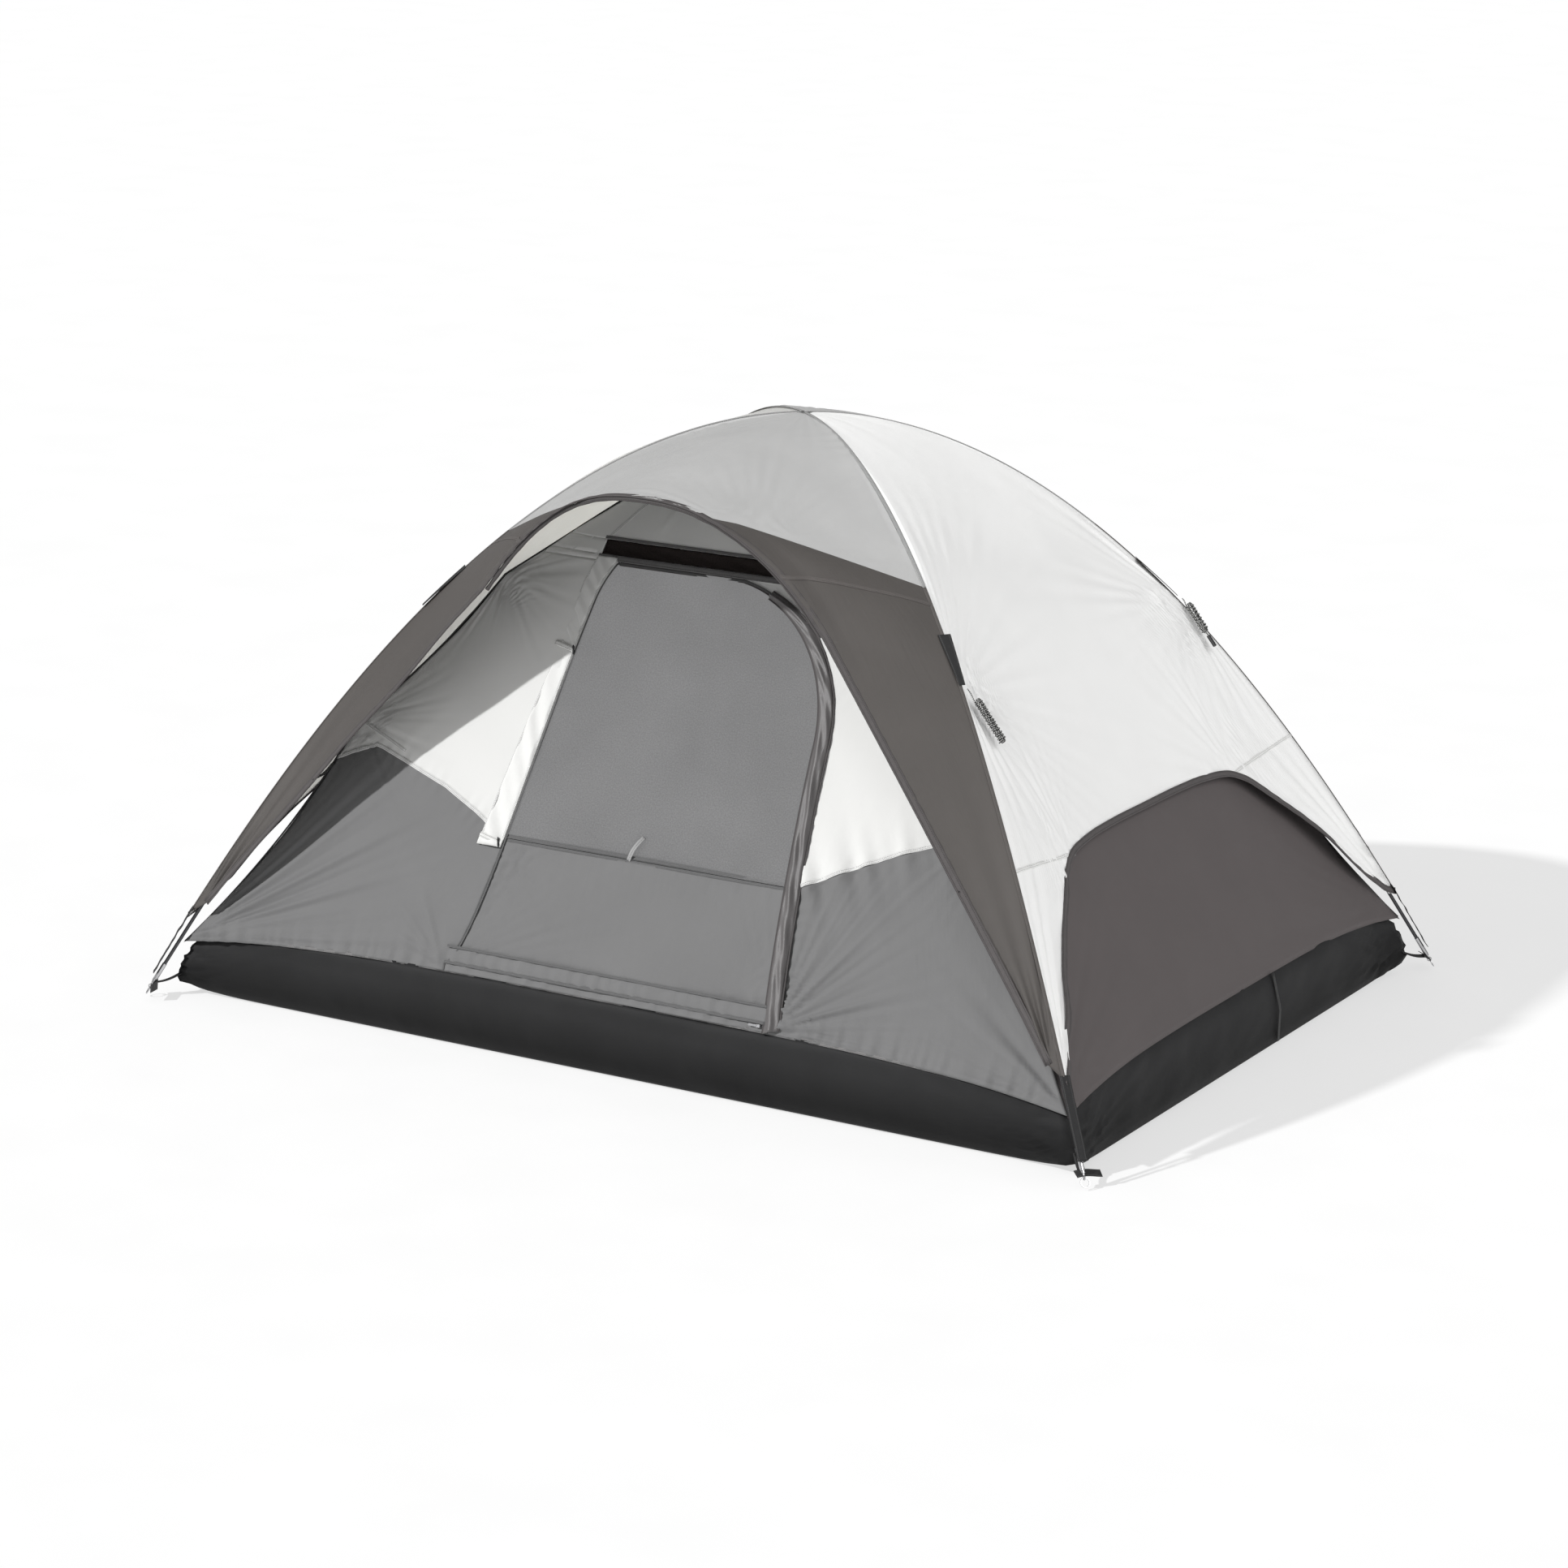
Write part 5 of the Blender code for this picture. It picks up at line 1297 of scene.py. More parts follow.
# netting
U, V = lerp_grid(70, 90)
g = 1 - (1 - V) ** 2
Z = DOOR_SEAM + 0.0008 + (DOOR_TOP - 0.002 - DOOR_SEAM - 0.0008) * g
G = door_pts(U, Z)
D = soft_noise(G, 111, 0.45, 0.0025)
net = make_sheet("door_netting_cloth", [Patch(G, 0, D)], [M["door_net"]], 0.0005, DOOR)
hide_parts("door_mesh")
u = np.linspace(0, 1, 60)
for dz, w, nm in ((0.006, 0.007, "upper"), (-0.004, 0.008, "lower")):
    L = door_pts(u, np.full_like(u, DOOR_SEAM + dz), out=0.0014)
    make_tape("door_cross_seam_" + nm, L, front_nrm(L[:, 2]), w, M["seam_grey"], lift=0.0008, thick=0.0008, body=DOOR)
# binding round the netting
def door_edge_line(out, inset):
    zr = DOOR_SEAM + (DOOR_TOP - 0.004 - DOOR_SEAM) * (1 - (1 - np.linspace(0, 1, 90)) ** 2)
    right = front_pt(door_right(zr) - inset, zr, out)
    xt = np.linspace(float(door_right(np.array(DOOR_TOP - 0.004))) - inset, float(door_left(np.array(DOOR_TOP))) + inset, 24)[1:]
    topl = front_pt(xt, np.full_like(xt, DOOR_TOP - 0.004), out)
    return np.concatenate([right, topl])


L = door_edge_line(0.0018, 0.006)
make_tape("door_net_binding", L, front_nrm(L[:, 2]), 0.010, M["bind"], lift=0.0004, thick=0.001, body=DOOR)
L = door_edge_line(0.0022, -0.0012)
make_tape("door_zip_coil", L, front_nrm(L[:, 2]), 0.006, M["coil"], lift=0.0004, thick=0.001, body=ROOT)
z = np.linspace(0.226, DOOR_TOP - 0.004, 90)
L = front_pt(door_left(z) + 0.003, z, 0.0044)
make_tape("door_hinge_seam", L, front_nrm(z), 0.004, M["seam_grey"], lift=0.0004, thick=0.0008, body=DOOR)
# pull loop on the cross seam
t = np.linspace(0, 1, 18)
L = front_pt(-0.030 + 0.030 * t, 0.528 + 0.058 * t, 0.002 + 0.010 * np.sin(np.pi * t))
lp = make_tape("door_pull_loop", L, front_nrm(L[:, 2]), 0.012, M["loop_tape"], lift=0.0005, thick=0.001, body=DOOR)

# white strip beside the door, in two lengths with a hem pocket at each end
def strip_outer(z):
    return np.interp(z, [0.50, 0.525, 0.98, 1.142, 1.20], [-0.484, -0.479, -0.396, -0.386, -0.372])


def white_strip(name, z0, z1, seed):
    U, V = lerp_grid(18, 60)
    Z = z0 + (z1 - z0) * V
    X = strip_outer(Z) * (1 - U) + (door_left(Z) - 0.003) * U
    edge = np.clip(np.minimum(U, 1 - U) / 0.12, 0, 1)
    lift = 0.0012 + 0.0030 * edge * (1 - 0.3 * np.cos(6 * V)) + 0.0016 * noise1(V * 5 + U, seed) * edge
    lift += 0.0045 * np.exp(-((V - 0.02) / 0.035) ** 2)
    G = front_pt(X, Z, lift)
    ob = make_sheet(name, [Patch(G, 0)], [M["strip"]], 0.0008, ROOT)
    for sgn, nm in ((0, "outer"), (1, "inner")):
        zz = np.linspace(z0 + 0.004, z1 - 0.004, 60)
        xx = strip_outer(zz) + 0.004 if sgn == 0 else door_left(zz) - 0.007
        L = front_pt(xx, zz, 0.0024)
        make_tape(name + "_stitch_" + nm, L, front_nrm(zz), 0.006, M["seam_white"], lift=0.0008, thick=0.0006)
    return ob


white_strip("door_strip_upper", 0.985, 1.200, 121)
white_strip("door_strip_lower", 0.506, 0.998, 122)

# toggles at the two tie-backs: white loop and black toggle
for nm, x0, z0 in (("upper", -0.377, 0.987), ("lower", -0.448, 0.523)):
    t = np.linspace(0, 1, 14)
    L = front_pt(x0 - 0.030 + 0.062 * t, z0 + 0.006 - 0.012 * t, 0.0062 + 0.0030 * np.sin(np.pi * t))
    tp = make_tape("tieback_tape_" + nm, L, front_nrm(L[:, 2]), 0.013, M["bind_white"], lift=0.0004, thick=0.0012, crown=0.001)
    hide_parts("door_tieback_" + nm)
    c = front_pt(np.array(x0 + 0.030), np.array(z0 - 0.006), 0.0075)
    ax = unit(np.array([0.25, -0.3, -1.0]))
    q = np.linspace(-0.013, 0.013, 9)
    tg = make_tube("tieback_toggle_" + nm, c + ax * q[:, None],
                   [0.0012, 0.0026, 0.0032, 0.0030, 0.0026, 0.0030, 0.0032, 0.0026, 0.0012],
                   M["black_plastic"], 12, ROOT)

# storm flap over the side zip
def edge_frame(z):
    """Point on the door's right edge with the in-wall direction square to it."""
    x = door_right(z)
    dz = 0.002
    dx = (door_right(np.minimum(z + dz, DOOR_TOP)) - door_right(z - dz)) / (2 * dz)
    tang = unit(np.stack([dx, np.ones_like(z)], -1))
    return x, np.stack([tang[:, 1], -tang[:, 0]], -1)


v = 1 - (1 - np.linspace(0, 1, 200)) ** 1.35
z = 0.200 + (1.168 - 0.200) * v
x, nn = edge_frame(np.maximum(z, 0.224))
u = np.linspace(0, 1, 15)
width = np.interp(z, [0.2, 0.95, 1.08, 1.17], [0.043, 0.040, 0.030, 0.016])
X = x[:, None] + nn[:, None, 0] * (-0.010 + (width[:, None]) * u[None, :])
Zf = z[:, None] + nn[:, None, 1] * (-0.010 + (width[:, None]) * u[None, :])
UU = np.repeat(u[None, :], len(z), 0)
VV = np.repeat(z[:, None], len(u), 1)
lift = 0.0030 + 0.0075 * np.sin(np.pi * UU) ** 0.7
lift += (0.0026 * noise1(UU * 1.5 + VV * 3.2, 131) + 0.0012 * noise1(VV * 8.0 + UU * 0.9, 132)
         ) * np.sin(np.pi * UU) ** 0.5
lift = np.maximum(lift, 0.0022)
G = front_pt(X, Zf, lift)
flap = make_sheet("storm_flap_cloth", [Patch(G, 0)], [M["flap"]], 0.0008, DOOR)
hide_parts("door_storm_flap")
for k, nm in ((0, "inner"), (-1, "outer")):
    L = G[:, k]
    make_tape("storm_flap_edge_" + nm, L, front_nrm(L[:, 2]), 0.007, M["bind"], lift=0.0006, thick=0.0012, body=DOOR)

# vent with its dark netting and edge bands
U, V = lerp_grid(80, 8)
X = -VENT_HALF + 0.001 + 2 * (VENT_HALF - 0.001) * U
Z = VENT_BOTTOM + 0.001 + (VENT_TOP - VENT_BOTTOM - 0.002) * V
G = front_pt(X, Z, -0.004 * np.sin(np.pi * V) + 0.001 * noise1(X * 14 + V * 2, 141))
vent = make_sheet("vent_netting_cloth", [Patch(G, 0)], [M["dark_net"]], 0.0005, ROOT)
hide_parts("vent_mesh")
x = np.linspace(-0.325, VENT_HALF + 0.004, 90)
on_front(front_pt(x, 1.1985 + 0 * x, 0.0020), "vent_door_band", 0.0165, M["bind_grey"])
x = np.linspace(-VENT_HALF - 0.006, VENT_HALF + 0.006, 90)
on_front(front_pt(x, VENT_TOP + 0.003 + 0 * x, 0.0016), "vent_edge_top", 0.009, M["bind_grey"])
on_front(front_pt(x, VENT_BOTTOM - 0.003 + 0 * x, 0.0012), "vent_edge_bottom", 0.007, M["bind_grey"])

# ------------------------------------------------------------------ rainfly
ARCHES = {False: (BROW_Z, BOW_Z, 2.25), True: (1.290, 1.130, 2.69)}
ARCH = ARCHES[False]


def hem_arch(x):
    """The brow arch: |x| up to BOW_X."""
    x = np.abs(x)
    k = np.clip(x / BOW_X, 0, 1)
    z = ARCH[1] + (ARCH[0] - ARCH[1]) * (1 - k ** ARCH[2])
    y = BOW_Y + (BROW_Y - BOW_Y) * (1 - k * k * (3 - 2 * k))
    return np.stack([x, -y, z], -1)


_xs = np.linspace(0, BOW_X, 400)
_arch = hem_arch(_xs)
_al = arclen(_arch)
H_C = float(np.interp(CREASE_X, _xs, _al) / _al[-1])


def hem_pt(h):
    """0 top centre, 1 where the straight leg begins, 2 at its foot."""
    h = np.asarray(h, float)
    x1 = np.interp(np.clip(h, 0, 1) * _al[-1], _al, _xs)
    a = hem_arch(x1)
    f = np.clip(h - 1, 0, None)[..., None]
    b0 = np.array([BOW_X, -BOW_Y, ARCH[1]])
    b1 = np.array([LEG_X, -LEG_Y, LEG_Z])
    b = b0 + (b1 - b0) * f
    # the arch up to 1, the straight leg beyond it
    return np.where(h[..., None] <= 1, a, b)


def brow_upper(s, w):
    s, w = np.broadcast_arrays(np.asarray(s, float), np.asarray(w, float))
    e = fly_edge(s, -1)
    f = s / SEAM_S
    top = float(fly_edge(0.0, 1)[2])
    cy = -BROW_Y * f
    cz = top + (ARCH[0] - top) * f ** 1.5
    x = w * e[..., 0]
    aw = np.abs(w)
    q = aw * aw * 1.5 / (aw + 0.5)
    y = cy + (e[..., 1] - cy) * q
    z = cz + (e[..., 2] - cz) * q
    near = np.clip((f - 0.55) / 0.45, 0, 1)
    near = near * near * (3 - 2 * near)
    tgt = hem_arch(np.minimum(np.abs(x), BOW_X * 0.999))
    k2 = np.clip((np.abs(x) - CREASE_X) / (0.6 * CREASE_X), 0, 1)
    k2 = 1 - k2 * k2 * (3 - 2 * k2)
    k = near * k2 * f ** 3
    y = y + (tgt[..., 1] - y) * k
    z = z + (tgt[..., 2] - z) * k
    return np.stack([x, y, z], -1)


W_C = CREASE_X / float(fly_edge(SEAM_S, -1)[0])


def h_of_f(f):
    b = 0.589
    a = 1.97 - H_C - b
    return H_C + a * f + b * (1 - np.exp(-f / 0.12))


def leg_pts(f, v):
    f, v = np.broadcast_arrays(np.asarray(f, float), np.asarray(v, float))
    s = SEAM_S + (float(pole_s(HEM_Z + 0.006)) - SEAM_S) * f
    e = fly_edge(s, -1)
    a = hem_pt(h_of_f(f))
    p = a + (e - a) * v[..., None]
    w = W_C + (1 - W_C) * v
    first = brow_upper(SEAM_S, w)
    st = (brow_upper(SEAM_S, W_C) + (brow_upper(SEAM_S, 1.0) - brow_upper(SEAM_S, W_C)) * v[..., None])
    k = np.clip(f / 0.35, 0, 1)
    k = 1 - k * k * (3 - 2 * k)
    return p + (first - st) * k[..., None]


def mirror_x(P):
    return P * np.array([-1, 1, 1])


def turn_rear(P):
    return P * np.array([1, -1, 1])


LEG_V = 46
CROSS = (0.10, 0.05)   # share down the leg of the cross seam, at the hem and at the pole


def upper_field(P, sd):
    D = soft_noise(P, sd, 0.5, 0.0035) + soft_noise(P, sd + 1, 0.16, 0.0006)
    D = D + radial_folds(P, (0, 0, 1.55), (0, -1, 0), (1, 0, 0), 18, 0.0010, 0.25, sd + 2, 0.1)
    Pm = np.stack([np.abs(P[..., 0]), P[..., 1], P[..., 2]], -1)
    hx = hem_pt(0.55)
    D = D + radial_folds(Pm, hx, (-0.3, 0.9, 0.1), (0.9, 0.3, 0), 40, 0.0030, 0.18, sd + 3, 0.04)
    D = D + puckers(Pm, fly_edge(np.linspace(0.03, SEAM_S, 30), -1), 0.05, 0.0012, 0.03, sd + 7)
    return D


LEG_HEM = None


def leg_field(P, sd):
    Pm = np.stack([np.abs(P[..., 0]), P[..., 1], P[..., 2]], -1)
    foot = np.array([LEG_X, -LEG_Y, LEG_Z])
    D = soft_noise(P, sd + 11, 0.30, 0.0028)
    D = D + radial_folds(Pm, foot, (-0.6, 0.1, 0.8), (0.8, 0.3, 0.3), 60, 0.0065, 0.38, sd + 12, 0.08)
    D = D + puckers(Pm, hem_pt(np.linspace(H_C, 1.97, 60)), 0.06, 0.0010, 0.03, sd + 13)
    return D


def leg_fade(f, v):
    return np.clip(f / 0.05, 0, 1) * np.clip((1 - v) / 0.05, 0, 1) * np.clip((1.0 - f) / 0.05, 0, 1)


def crease_painted_shade_panel(name, flip, node_name):
    """Front or rear fly panel with its two legs, whose darker cloth below the crease is partly painted shade."""
    w_r = W_C + (1 - W_C) * np.linspace(0, 1, LEG_V + 1)
    w_m = np.linspace(-W_C, W_C, 19)
    ws = np.concatenate([-w_r[::-1], w_m[1:-1], w_r])
    ss = SEAM_S * np.linspace(0.012, 1, 90)
    W, S = np.meshgrid(ws, ss)
    G = brow_upper(S, W)
    sd = 260 if flip else 200
    D = upper_field(G, sd) * np.clip((ss[-1] - S) / 0.02, 0, 1) * np.clip((1 - np.abs(W)) / 0.03, 0, 1)
    patches = [Patch(turn_rear(G) if flip else G, 0, D)]
    f = np.linspace(0, 1, 131) ** 1.15
    Vv, Ff = np.meshgrid(np.linspace(0, 1, LEG_V + 1), f)
    L = leg_pts(Ff, Vv)
    for sx in (1, -1):
        P = L if sx > 0 else mirror_x(L)
        D = leg_field(P, sd) * leg_fade(Ff, Vv)
        patches.append(Patch(turn_rear(P) if flip else P, 1, D))
    # the legs take the darker cloth, partly painted shade below the crease
    ob = make_sheet(name, patches, [M["fly_grey"], M["fly_taupe_and_painted_shade"]], 0.0007, FLY, merge=1e-4)
    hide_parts(node_name)
    return ob


crease_painted_shade_panel("fly_front_cloth", False, "fly_front_panel")
ARCH = ARCHES[True]
crease_painted_shade_panel("fly_rear_cloth", True, "fly_rear_panel")


def smooth_rows(A, n):
    A = A.copy()
    for _ in range(n):
        A[1:-1] = (A[:-2] + 2 * A[1:-1] + A[2:]) / 4
    return unit(A)


# hem binding, sleeve with its bow, and the cross seam, front and rear
def hem_line(a, b, n):
    h = np.linspace(a, b, n)
    return hem_pt(h)


def full_hem(n=120):
    r = hem_line(0, 1.965, n)
    return np.concatenate([mirror_x(r[::-1]), r[1:]])


for flip, nm in ((False, "front"), (True, "rear")):
    ARCH = ARCHES[flip]
    fl = turn_rear if flip else (lambda P: P)
    line = full_hem()
    tan = unit(np.gradient(line, axis=0))
    nr = np.cross(tan, np.array([0, 0.35, -0.35]))
    outn = np.stack([np.zeros(len(line)), np.full(len(line), -1.0), np.full(len(line), 0.15)], -1)
    # surface normal of the panel at the hem, for lying the tape flat
    hs = np.concatenate([np.linspace(1.965, 0, 120), np.linspace(0, 1.965, 120)[1:]])
    sgn = np.concatenate([-np.ones(120), np.ones(119)])
    surf = []
    for h, sg_ in zip(hs, sgn):
        p = hem_pt(h)
        if h <= H_C:
            f = 1.0
            q = np.array([p[0], p[1] + 0.10, p[2] + 0.012])
        else:
            f = np.interp(h, h_of_f(np.linspace(0, 1, 60)), np.linspace(0, 1, 60))
            q = leg_pts(f, 0.08)
        d = q - p
        d[0] *= sg_
        surf.append(d)
    surf = smooth_rows(unit(np.array(surf)), 10)
    nrm = np.cross(surf, tan)
    nrm = np.where((nrm[:, 1:2] > 0.0), -nrm, nrm)
    nrm = smooth_rows(unit(nrm), 10)
    ftab = np.linspace(0, 1, 200)
    fh = np.interp(hs, h_of_f(ftab), ftab)
    lift = leg_field(line, 260 if flip else 200) * leg_fade(fh, np.zeros_like(fh)) * (hs > H_C)
    line = line + nrm * lift[:, None]
    nrm = fl(nrm)
    P0 = fl(line)
    sf = fl(surf)
    mid = P0 + sf * 0.009
    make_tape("fly_hem_binding_" + nm, mid, nrm, 0.020, M["bind"], lift=0.0012, thick=0.0010, body=FLY,
              wave=lambda s, t: 0.0006 * noise1(s * 14 + t, 301))
    edge = make_tube("fly_hem_cord_" + nm, P0 + sf * 0.001, 0.0026, M["bind"], 8, FLY)
    # sleeve
    r = hem_line(0, 0.99, 60)
    arch = np.concatenate([mirror_x(r[::-1]), r[1:]])
    ta = unit(np.gradient(arch, axis=0))
    inward = np.stack([ta[:, 2], np.zeros(len(arch)), -ta[:, 0]], -1)
    inward = unit(np.where((inward[:, 2:3] > 0), -inward, inward))
    cl = arch + inward * 0.0078 + np.array([0, 0.005, 0])
    s = arclen(cl)
    wob = 0.0056 + 0.0004 * noise1(s * 12, 311)
    sl = make_tube("brow_sleeve_" + nm, fl(cl), wob, M["bind"], 12, FLY)
    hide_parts(nm + "_brow_pole")
    # cross seam from the pole to the hem, both sides
    for sx in (1, -1):
        v = np.linspace(0, 1, 60)
        f2 = CROSS[0] + (CROSS[1] - CROSS[0]) * v
        P = leg_pts(f2, v)
        a = leg_pts(f2 + 0.01, v)
        b = leg_pts(f2, np.clip(v + 0.01, 0, 1.01))
        n = np.cross(a - P, b - P)
        n = unit(np.where(n[:, 1:2] > 0, -n, n))
        if sx < 0:
            P, n = mirror_x(P), mirror_x(n)
        P = P + n * (leg_field(P, 260 if flip else 200) * leg_fade(f2, v))[:, None]
        # the cross seam takes the darker seam colour, partly painted shade
        make_tape("fly_cross_seam_%s_%s" % (nm, "r" if sx > 0 else "l"), fl(P), fl(n), 0.011,
                  M["seam_taupe_and_painted_shade"], lift=0.0012, thick=0.0010, body=FLY)

ARCH = ARCHES[False]
# side panels
ARCH_YZ = np.array([(0, .642), (.15, .643), (.28, .642), (.38, .636), (.44, .628), (.485, .612), (.525, .590),
                    (.56, .563), (.60, .532), (.665, .482), (.735, .420), (.800, .352), (.868, .286), (.915, .243), (.9435, .217)])
_al2 = arclen(ARCH_YZ)


def side_surface(s, t, sgn):
    e = fly_edge(s, 1)
    hx, hy, hz = e[..., 0], e[..., 1], e[..., 2]
    k = np.clip((s - 0.15) / 0.6, 0, 1)
    k = k * k * (3 - 2 * k)
    x = hx - 0.046 * k * (1 - t * t)
    return np.stack([sgn * x, t * hy, hz], -1)


_ztab = np.linspace(0.02, 0.985, 900)
_ctab = fly_edge(_ztab, 1)


def s_of_edge_z(z):
    return np.interp(-z, -_ctab[:, 2], _ztab)


def side_field(P, sgn):
    sd = 400 if sgn > 0 else 430
    D = soft_noise(P, sd, 0.6, 0.0040) + soft_noise(P, sd + 1, 0.2, 0.0005)
    D = D + radial_folds(P, (0, 0, 1.56), (sgn, 0, 0), (0, 1, 0), 16, 0.0008, 0.25, sd + 2, 0.1)
    for sy in (-1, 1):
        foot = np.array([sgn * 1.285, sy * 0.950, 0.215])
        D = D + radial_folds(P, foot, (-sgn * 0.5, -sy * 0.3, 0.8), (0, -sy, 0.2), 70, 0.0070, 0.30, sd + 4 + sy, 0.08)
        gt = np.array([sgn * 0.80, sy * 0.585, 1.04])
        D = D + radial_folds(P, gt, (sgn * 0.5, -sy * 0.3, -0.8), (0, -sy, 0.2), 44, 0.0055, 0.20, sd + 6 + sy, 0.04)
        sh = np.array([sgn * 1.04, sy * 0.47, 0.615])
        D = D + radial_folds(P, sh, (-sgn * 0.5, 0, 0.8), (0, -sy, 0.2), 40, 0.0035, 0.16, sd + 8 + sy, 0.04)
    return D


def side_fade(tau):
    return np.clip((1 - np.abs(tau)) / 0.03, 0, 1)


def side_panel(name, sgn, node_name):
    nu, nv = 220, 130
    t = np.linspace(-1, 1, nu + 1)
    tt = np.sign(t) * np.abs(t) ** 0.9
    q = np.abs(tt) * _al2[-1]
    yb = np.interp(q, _al2, ARCH_YZ[:, 0])
    yb = np.where(t < 0, yb * (1 + 0.15 * np.clip(1 - yb / 0.9435, 0, 1)), yb) * np.sign(t)
    zb = np.interp(q, _al2, ARCH_YZ[:, 1])
    sb = s_of_edge_z(zb)
    hyb = np.interp(sb, _ztab, _ctab[:, 1])
    taub = np.clip(yb / hyb, -1, 1)
    v = np.linspace(0, 1, nv + 1)[:, None]
    S = 0.012 + (sb[None, :] - 0.012) * v
    TAU_ = tt[None, :] * (1 - v) + taub[None, :] * v
    TAU_[:, 0], TAU_[:, -1] = -1, 1
    G = side_surface(S, TAU_, sgn)
    D = side_field(G, sgn) * side_fade(TAU_)
    p = Patch(G, 0, D)
    # the left panel takes the copy of the white cloth with painted sunlight
    ob = make_sheet(name, [p], [M["fly_white" if sgn > 0 else "fly_white_painted_sunlit"]], 0.0007, FLY)
    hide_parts(node_name)
    # binding round the arch
    line = p.P[-1].copy()
    inner = p.P[-4]
    for _ in range(6):
        line[1:-1] = (line[:-2] + 2 * line[1:-1] + line[2:]) / 4
    dirn = smooth_rows(unit(inner - line), 8)
    tan = unit(np.gradient(line, axis=0))
    n = np.cross(tan, dirn)
    n = unit(np.where((n[:, 0:1] * sgn) < 0, -n, n))
    nm = "right" if sgn > 0 else "left"
    n = smooth_rows(n, 8)
    make_tape("fly_arch_binding_" + nm, line + dirn * 0.007, n, 0.018, M["bind"], lift=0.0030, thick=0.0012, body=FLY,
              wave=lambda s, t: 0.0005 * noise1(s * 14 + t, 331))
    ed = make_tube("fly_arch_edge_" + nm, line, 0.0024, M["bind"], 8, FLY)
    # level seam beside the arch, from its shoulder to the pole line
    for sy in (-1, 1):
        z = np.linspace(0.630, 0.665, 40)
        ss = s_of_edge_z(z)
        hy = np.interp(ss, _ztab, _ctab[:, 1])
        y0 = 0.455
        tau = (y0 + (hy - y0) * np.linspace(0, 1, 40)) / hy * sy
        L = side_surface(ss, tau, sgn)
        n = np.array([sgn * 0.8, sy * 0.1, 0.6])
        n = n / np.linalg.norm(n)
        L = L + n * (side_field(L, sgn) * side_fade(tau))[:, None]
        make_tape("fly_side_seam_%s_%s" % (nm, "rear" if sy > 0 else "front"), L, n, 0.010,
                  M["seam_white"], lift=0.0012, thick=0.0008, body=FLY)
    return p


side_panel("fly_right_cloth", 1.0, "fly_right_panel")
side_panel("fly_left_cloth", -1.0, "fly_left_panel")

# welts along the pole lines
for sx in (-1, 1):
    for sy in (-1, 1):
        sg = sx * sy
        nm = "%s_%s" % ("right" if sx > 0 else "left", "rear" if sy > 0 else "front")
        # the lower welts take the darker seam colour of the legs, partly painted shade
        for s0, s1, cnt, mt, part in ((0.004, SEAM_S, 70, "seam_light", "upper"),
                                      (SEAM_S, float(pole_s(HEM_Z + 0.006)), 110, "seam_taupe_and_painted_shade", "lower")):
            s = np.linspace(s0, s1, cnt)
            line = fly_edge(s, 1) * np.array([sx, sy, 1])
            w = make_tape("pole_line_seam_%s_%s" % (nm, part), line, pole_nrm(s * sx, sg), 0.009, M[mt],
                          lift=0.0012, thick=0.0012, body=FLY, crown=0.0008,
                          shift=(-0.003 if sx * sy > 0 else 0.003) * sx)
# touch-and-close tie between the fly's leg and the inner tent
for sx in (-1, 1):
    cx, cy = inner_corner(np.array(0.63))
    a0 = np.array([sx * float(cx), -float(cy), 0.63])
    h = hem_pt(np.array(1.584))
    b0 = np.array([sx * h[0], h[1], h[2] + 0.005])
    t = np.linspace(0, 1, 16)
    L = a0 + (b0 - a0) * t[:, None] - np.array([0, 0, 1]) * (0.006 * np.sin(np.pi * t))[:, None]
    tb = make_tape("fly_tie_" + ("right" if sx > 0 else "left"), L, (0.1 * sx, -0.5, 0.85), 0.014, M["webbing"],
                   lift=0.0, thick=0.0014, body=FLY)

# ------------------------------------------------------------------ straps, tabs, corners
CORNERS = {"front_left": (-1, -1), "front_right": (1, -1), "rear_right": (1, 1), "rear_left": (-1, 1)}
for nm, (sx, sy) in CORNERS.items():
    sg = sx * sy
    s = np.linspace(float(pole_s(HEM_Z + 0.02)), 0.978, 30)
    P = pole_pt(s * sx, sg) + pole_nrm(s * sx, sg) * (FLY_OFF + 0.0012 - 0.004 * np.linspace(0, 1, 30)[:, None])
    n = pole_nrm(s * sx, sg)
    st = make_tape("corner_strap_" + nm, P, n, 0.025, M["webbing"], lift=0.0010, thick=0.0016, body=FLY,
                   wave=lambda s, t: 0.0006 * noise1(s * 20, 341))
    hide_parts("fly_strap_" + nm)
    # webbing tab threaded under the tip, and the tub's own loop to the pin
    tip = pole_pt(0.984 * sx, sg)
    side = pole_side(sg)
    q = np.linspace(-0.050, 0.018, 14)
    L = tip + side * q[:, None] * (1 if sy < 0 else -1) * (1 if sg < 0 else -1) * -1 + np.array([0, 0, -0.009])
    L = L + np.array([0, 0, 1]) * (0.004 * np.cos(q / 0.02))[:, None]
    tb = make_tape("corner_tab_" + nm, L, (sx * 0.35, sy * 0.35, 0.85), 0.022, M["webbing"],
                   lift=0.0, thick=0.0016)
    a0 = np.array([sx * 1.330, sy * 0.957, 0.060])
    b0 = tip + np.array([0, 0, -0.004])
    t = np.linspace(0, 1, 14)
    L = a0 + (b0 - a0) * t[:, None] + np.array([0, 0, -1]) * (0.006 * np.sin(np.pi * t))[:, None]
    tb = make_tape("tub_corner_web_" + nm, L, (sx * 0.5, sy * 0.5, 0.7), 0.020, M["webbing"],
                   lift=0.0, thick=0.0016)
    # guy tab with its stitched patch
    s = np.linspace(0.500, 0.562, 20)
    k = np.linspace(0, 1, 20)
    P = pole_pt(s * sx, sg) + pole_nrm(s * sx, sg) * (FLY_OFF + 0.0030 + 0.0040 * k[:, None])
    tb = make_tape("guy_patch_" + nm, P, pole_nrm(s * sx, sg), 0.034 - 0.018 * k, M["webbing"],
                   lift=0.0006, thick=0.0012, body=FLY)
    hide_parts("guy_tab_" + nm)

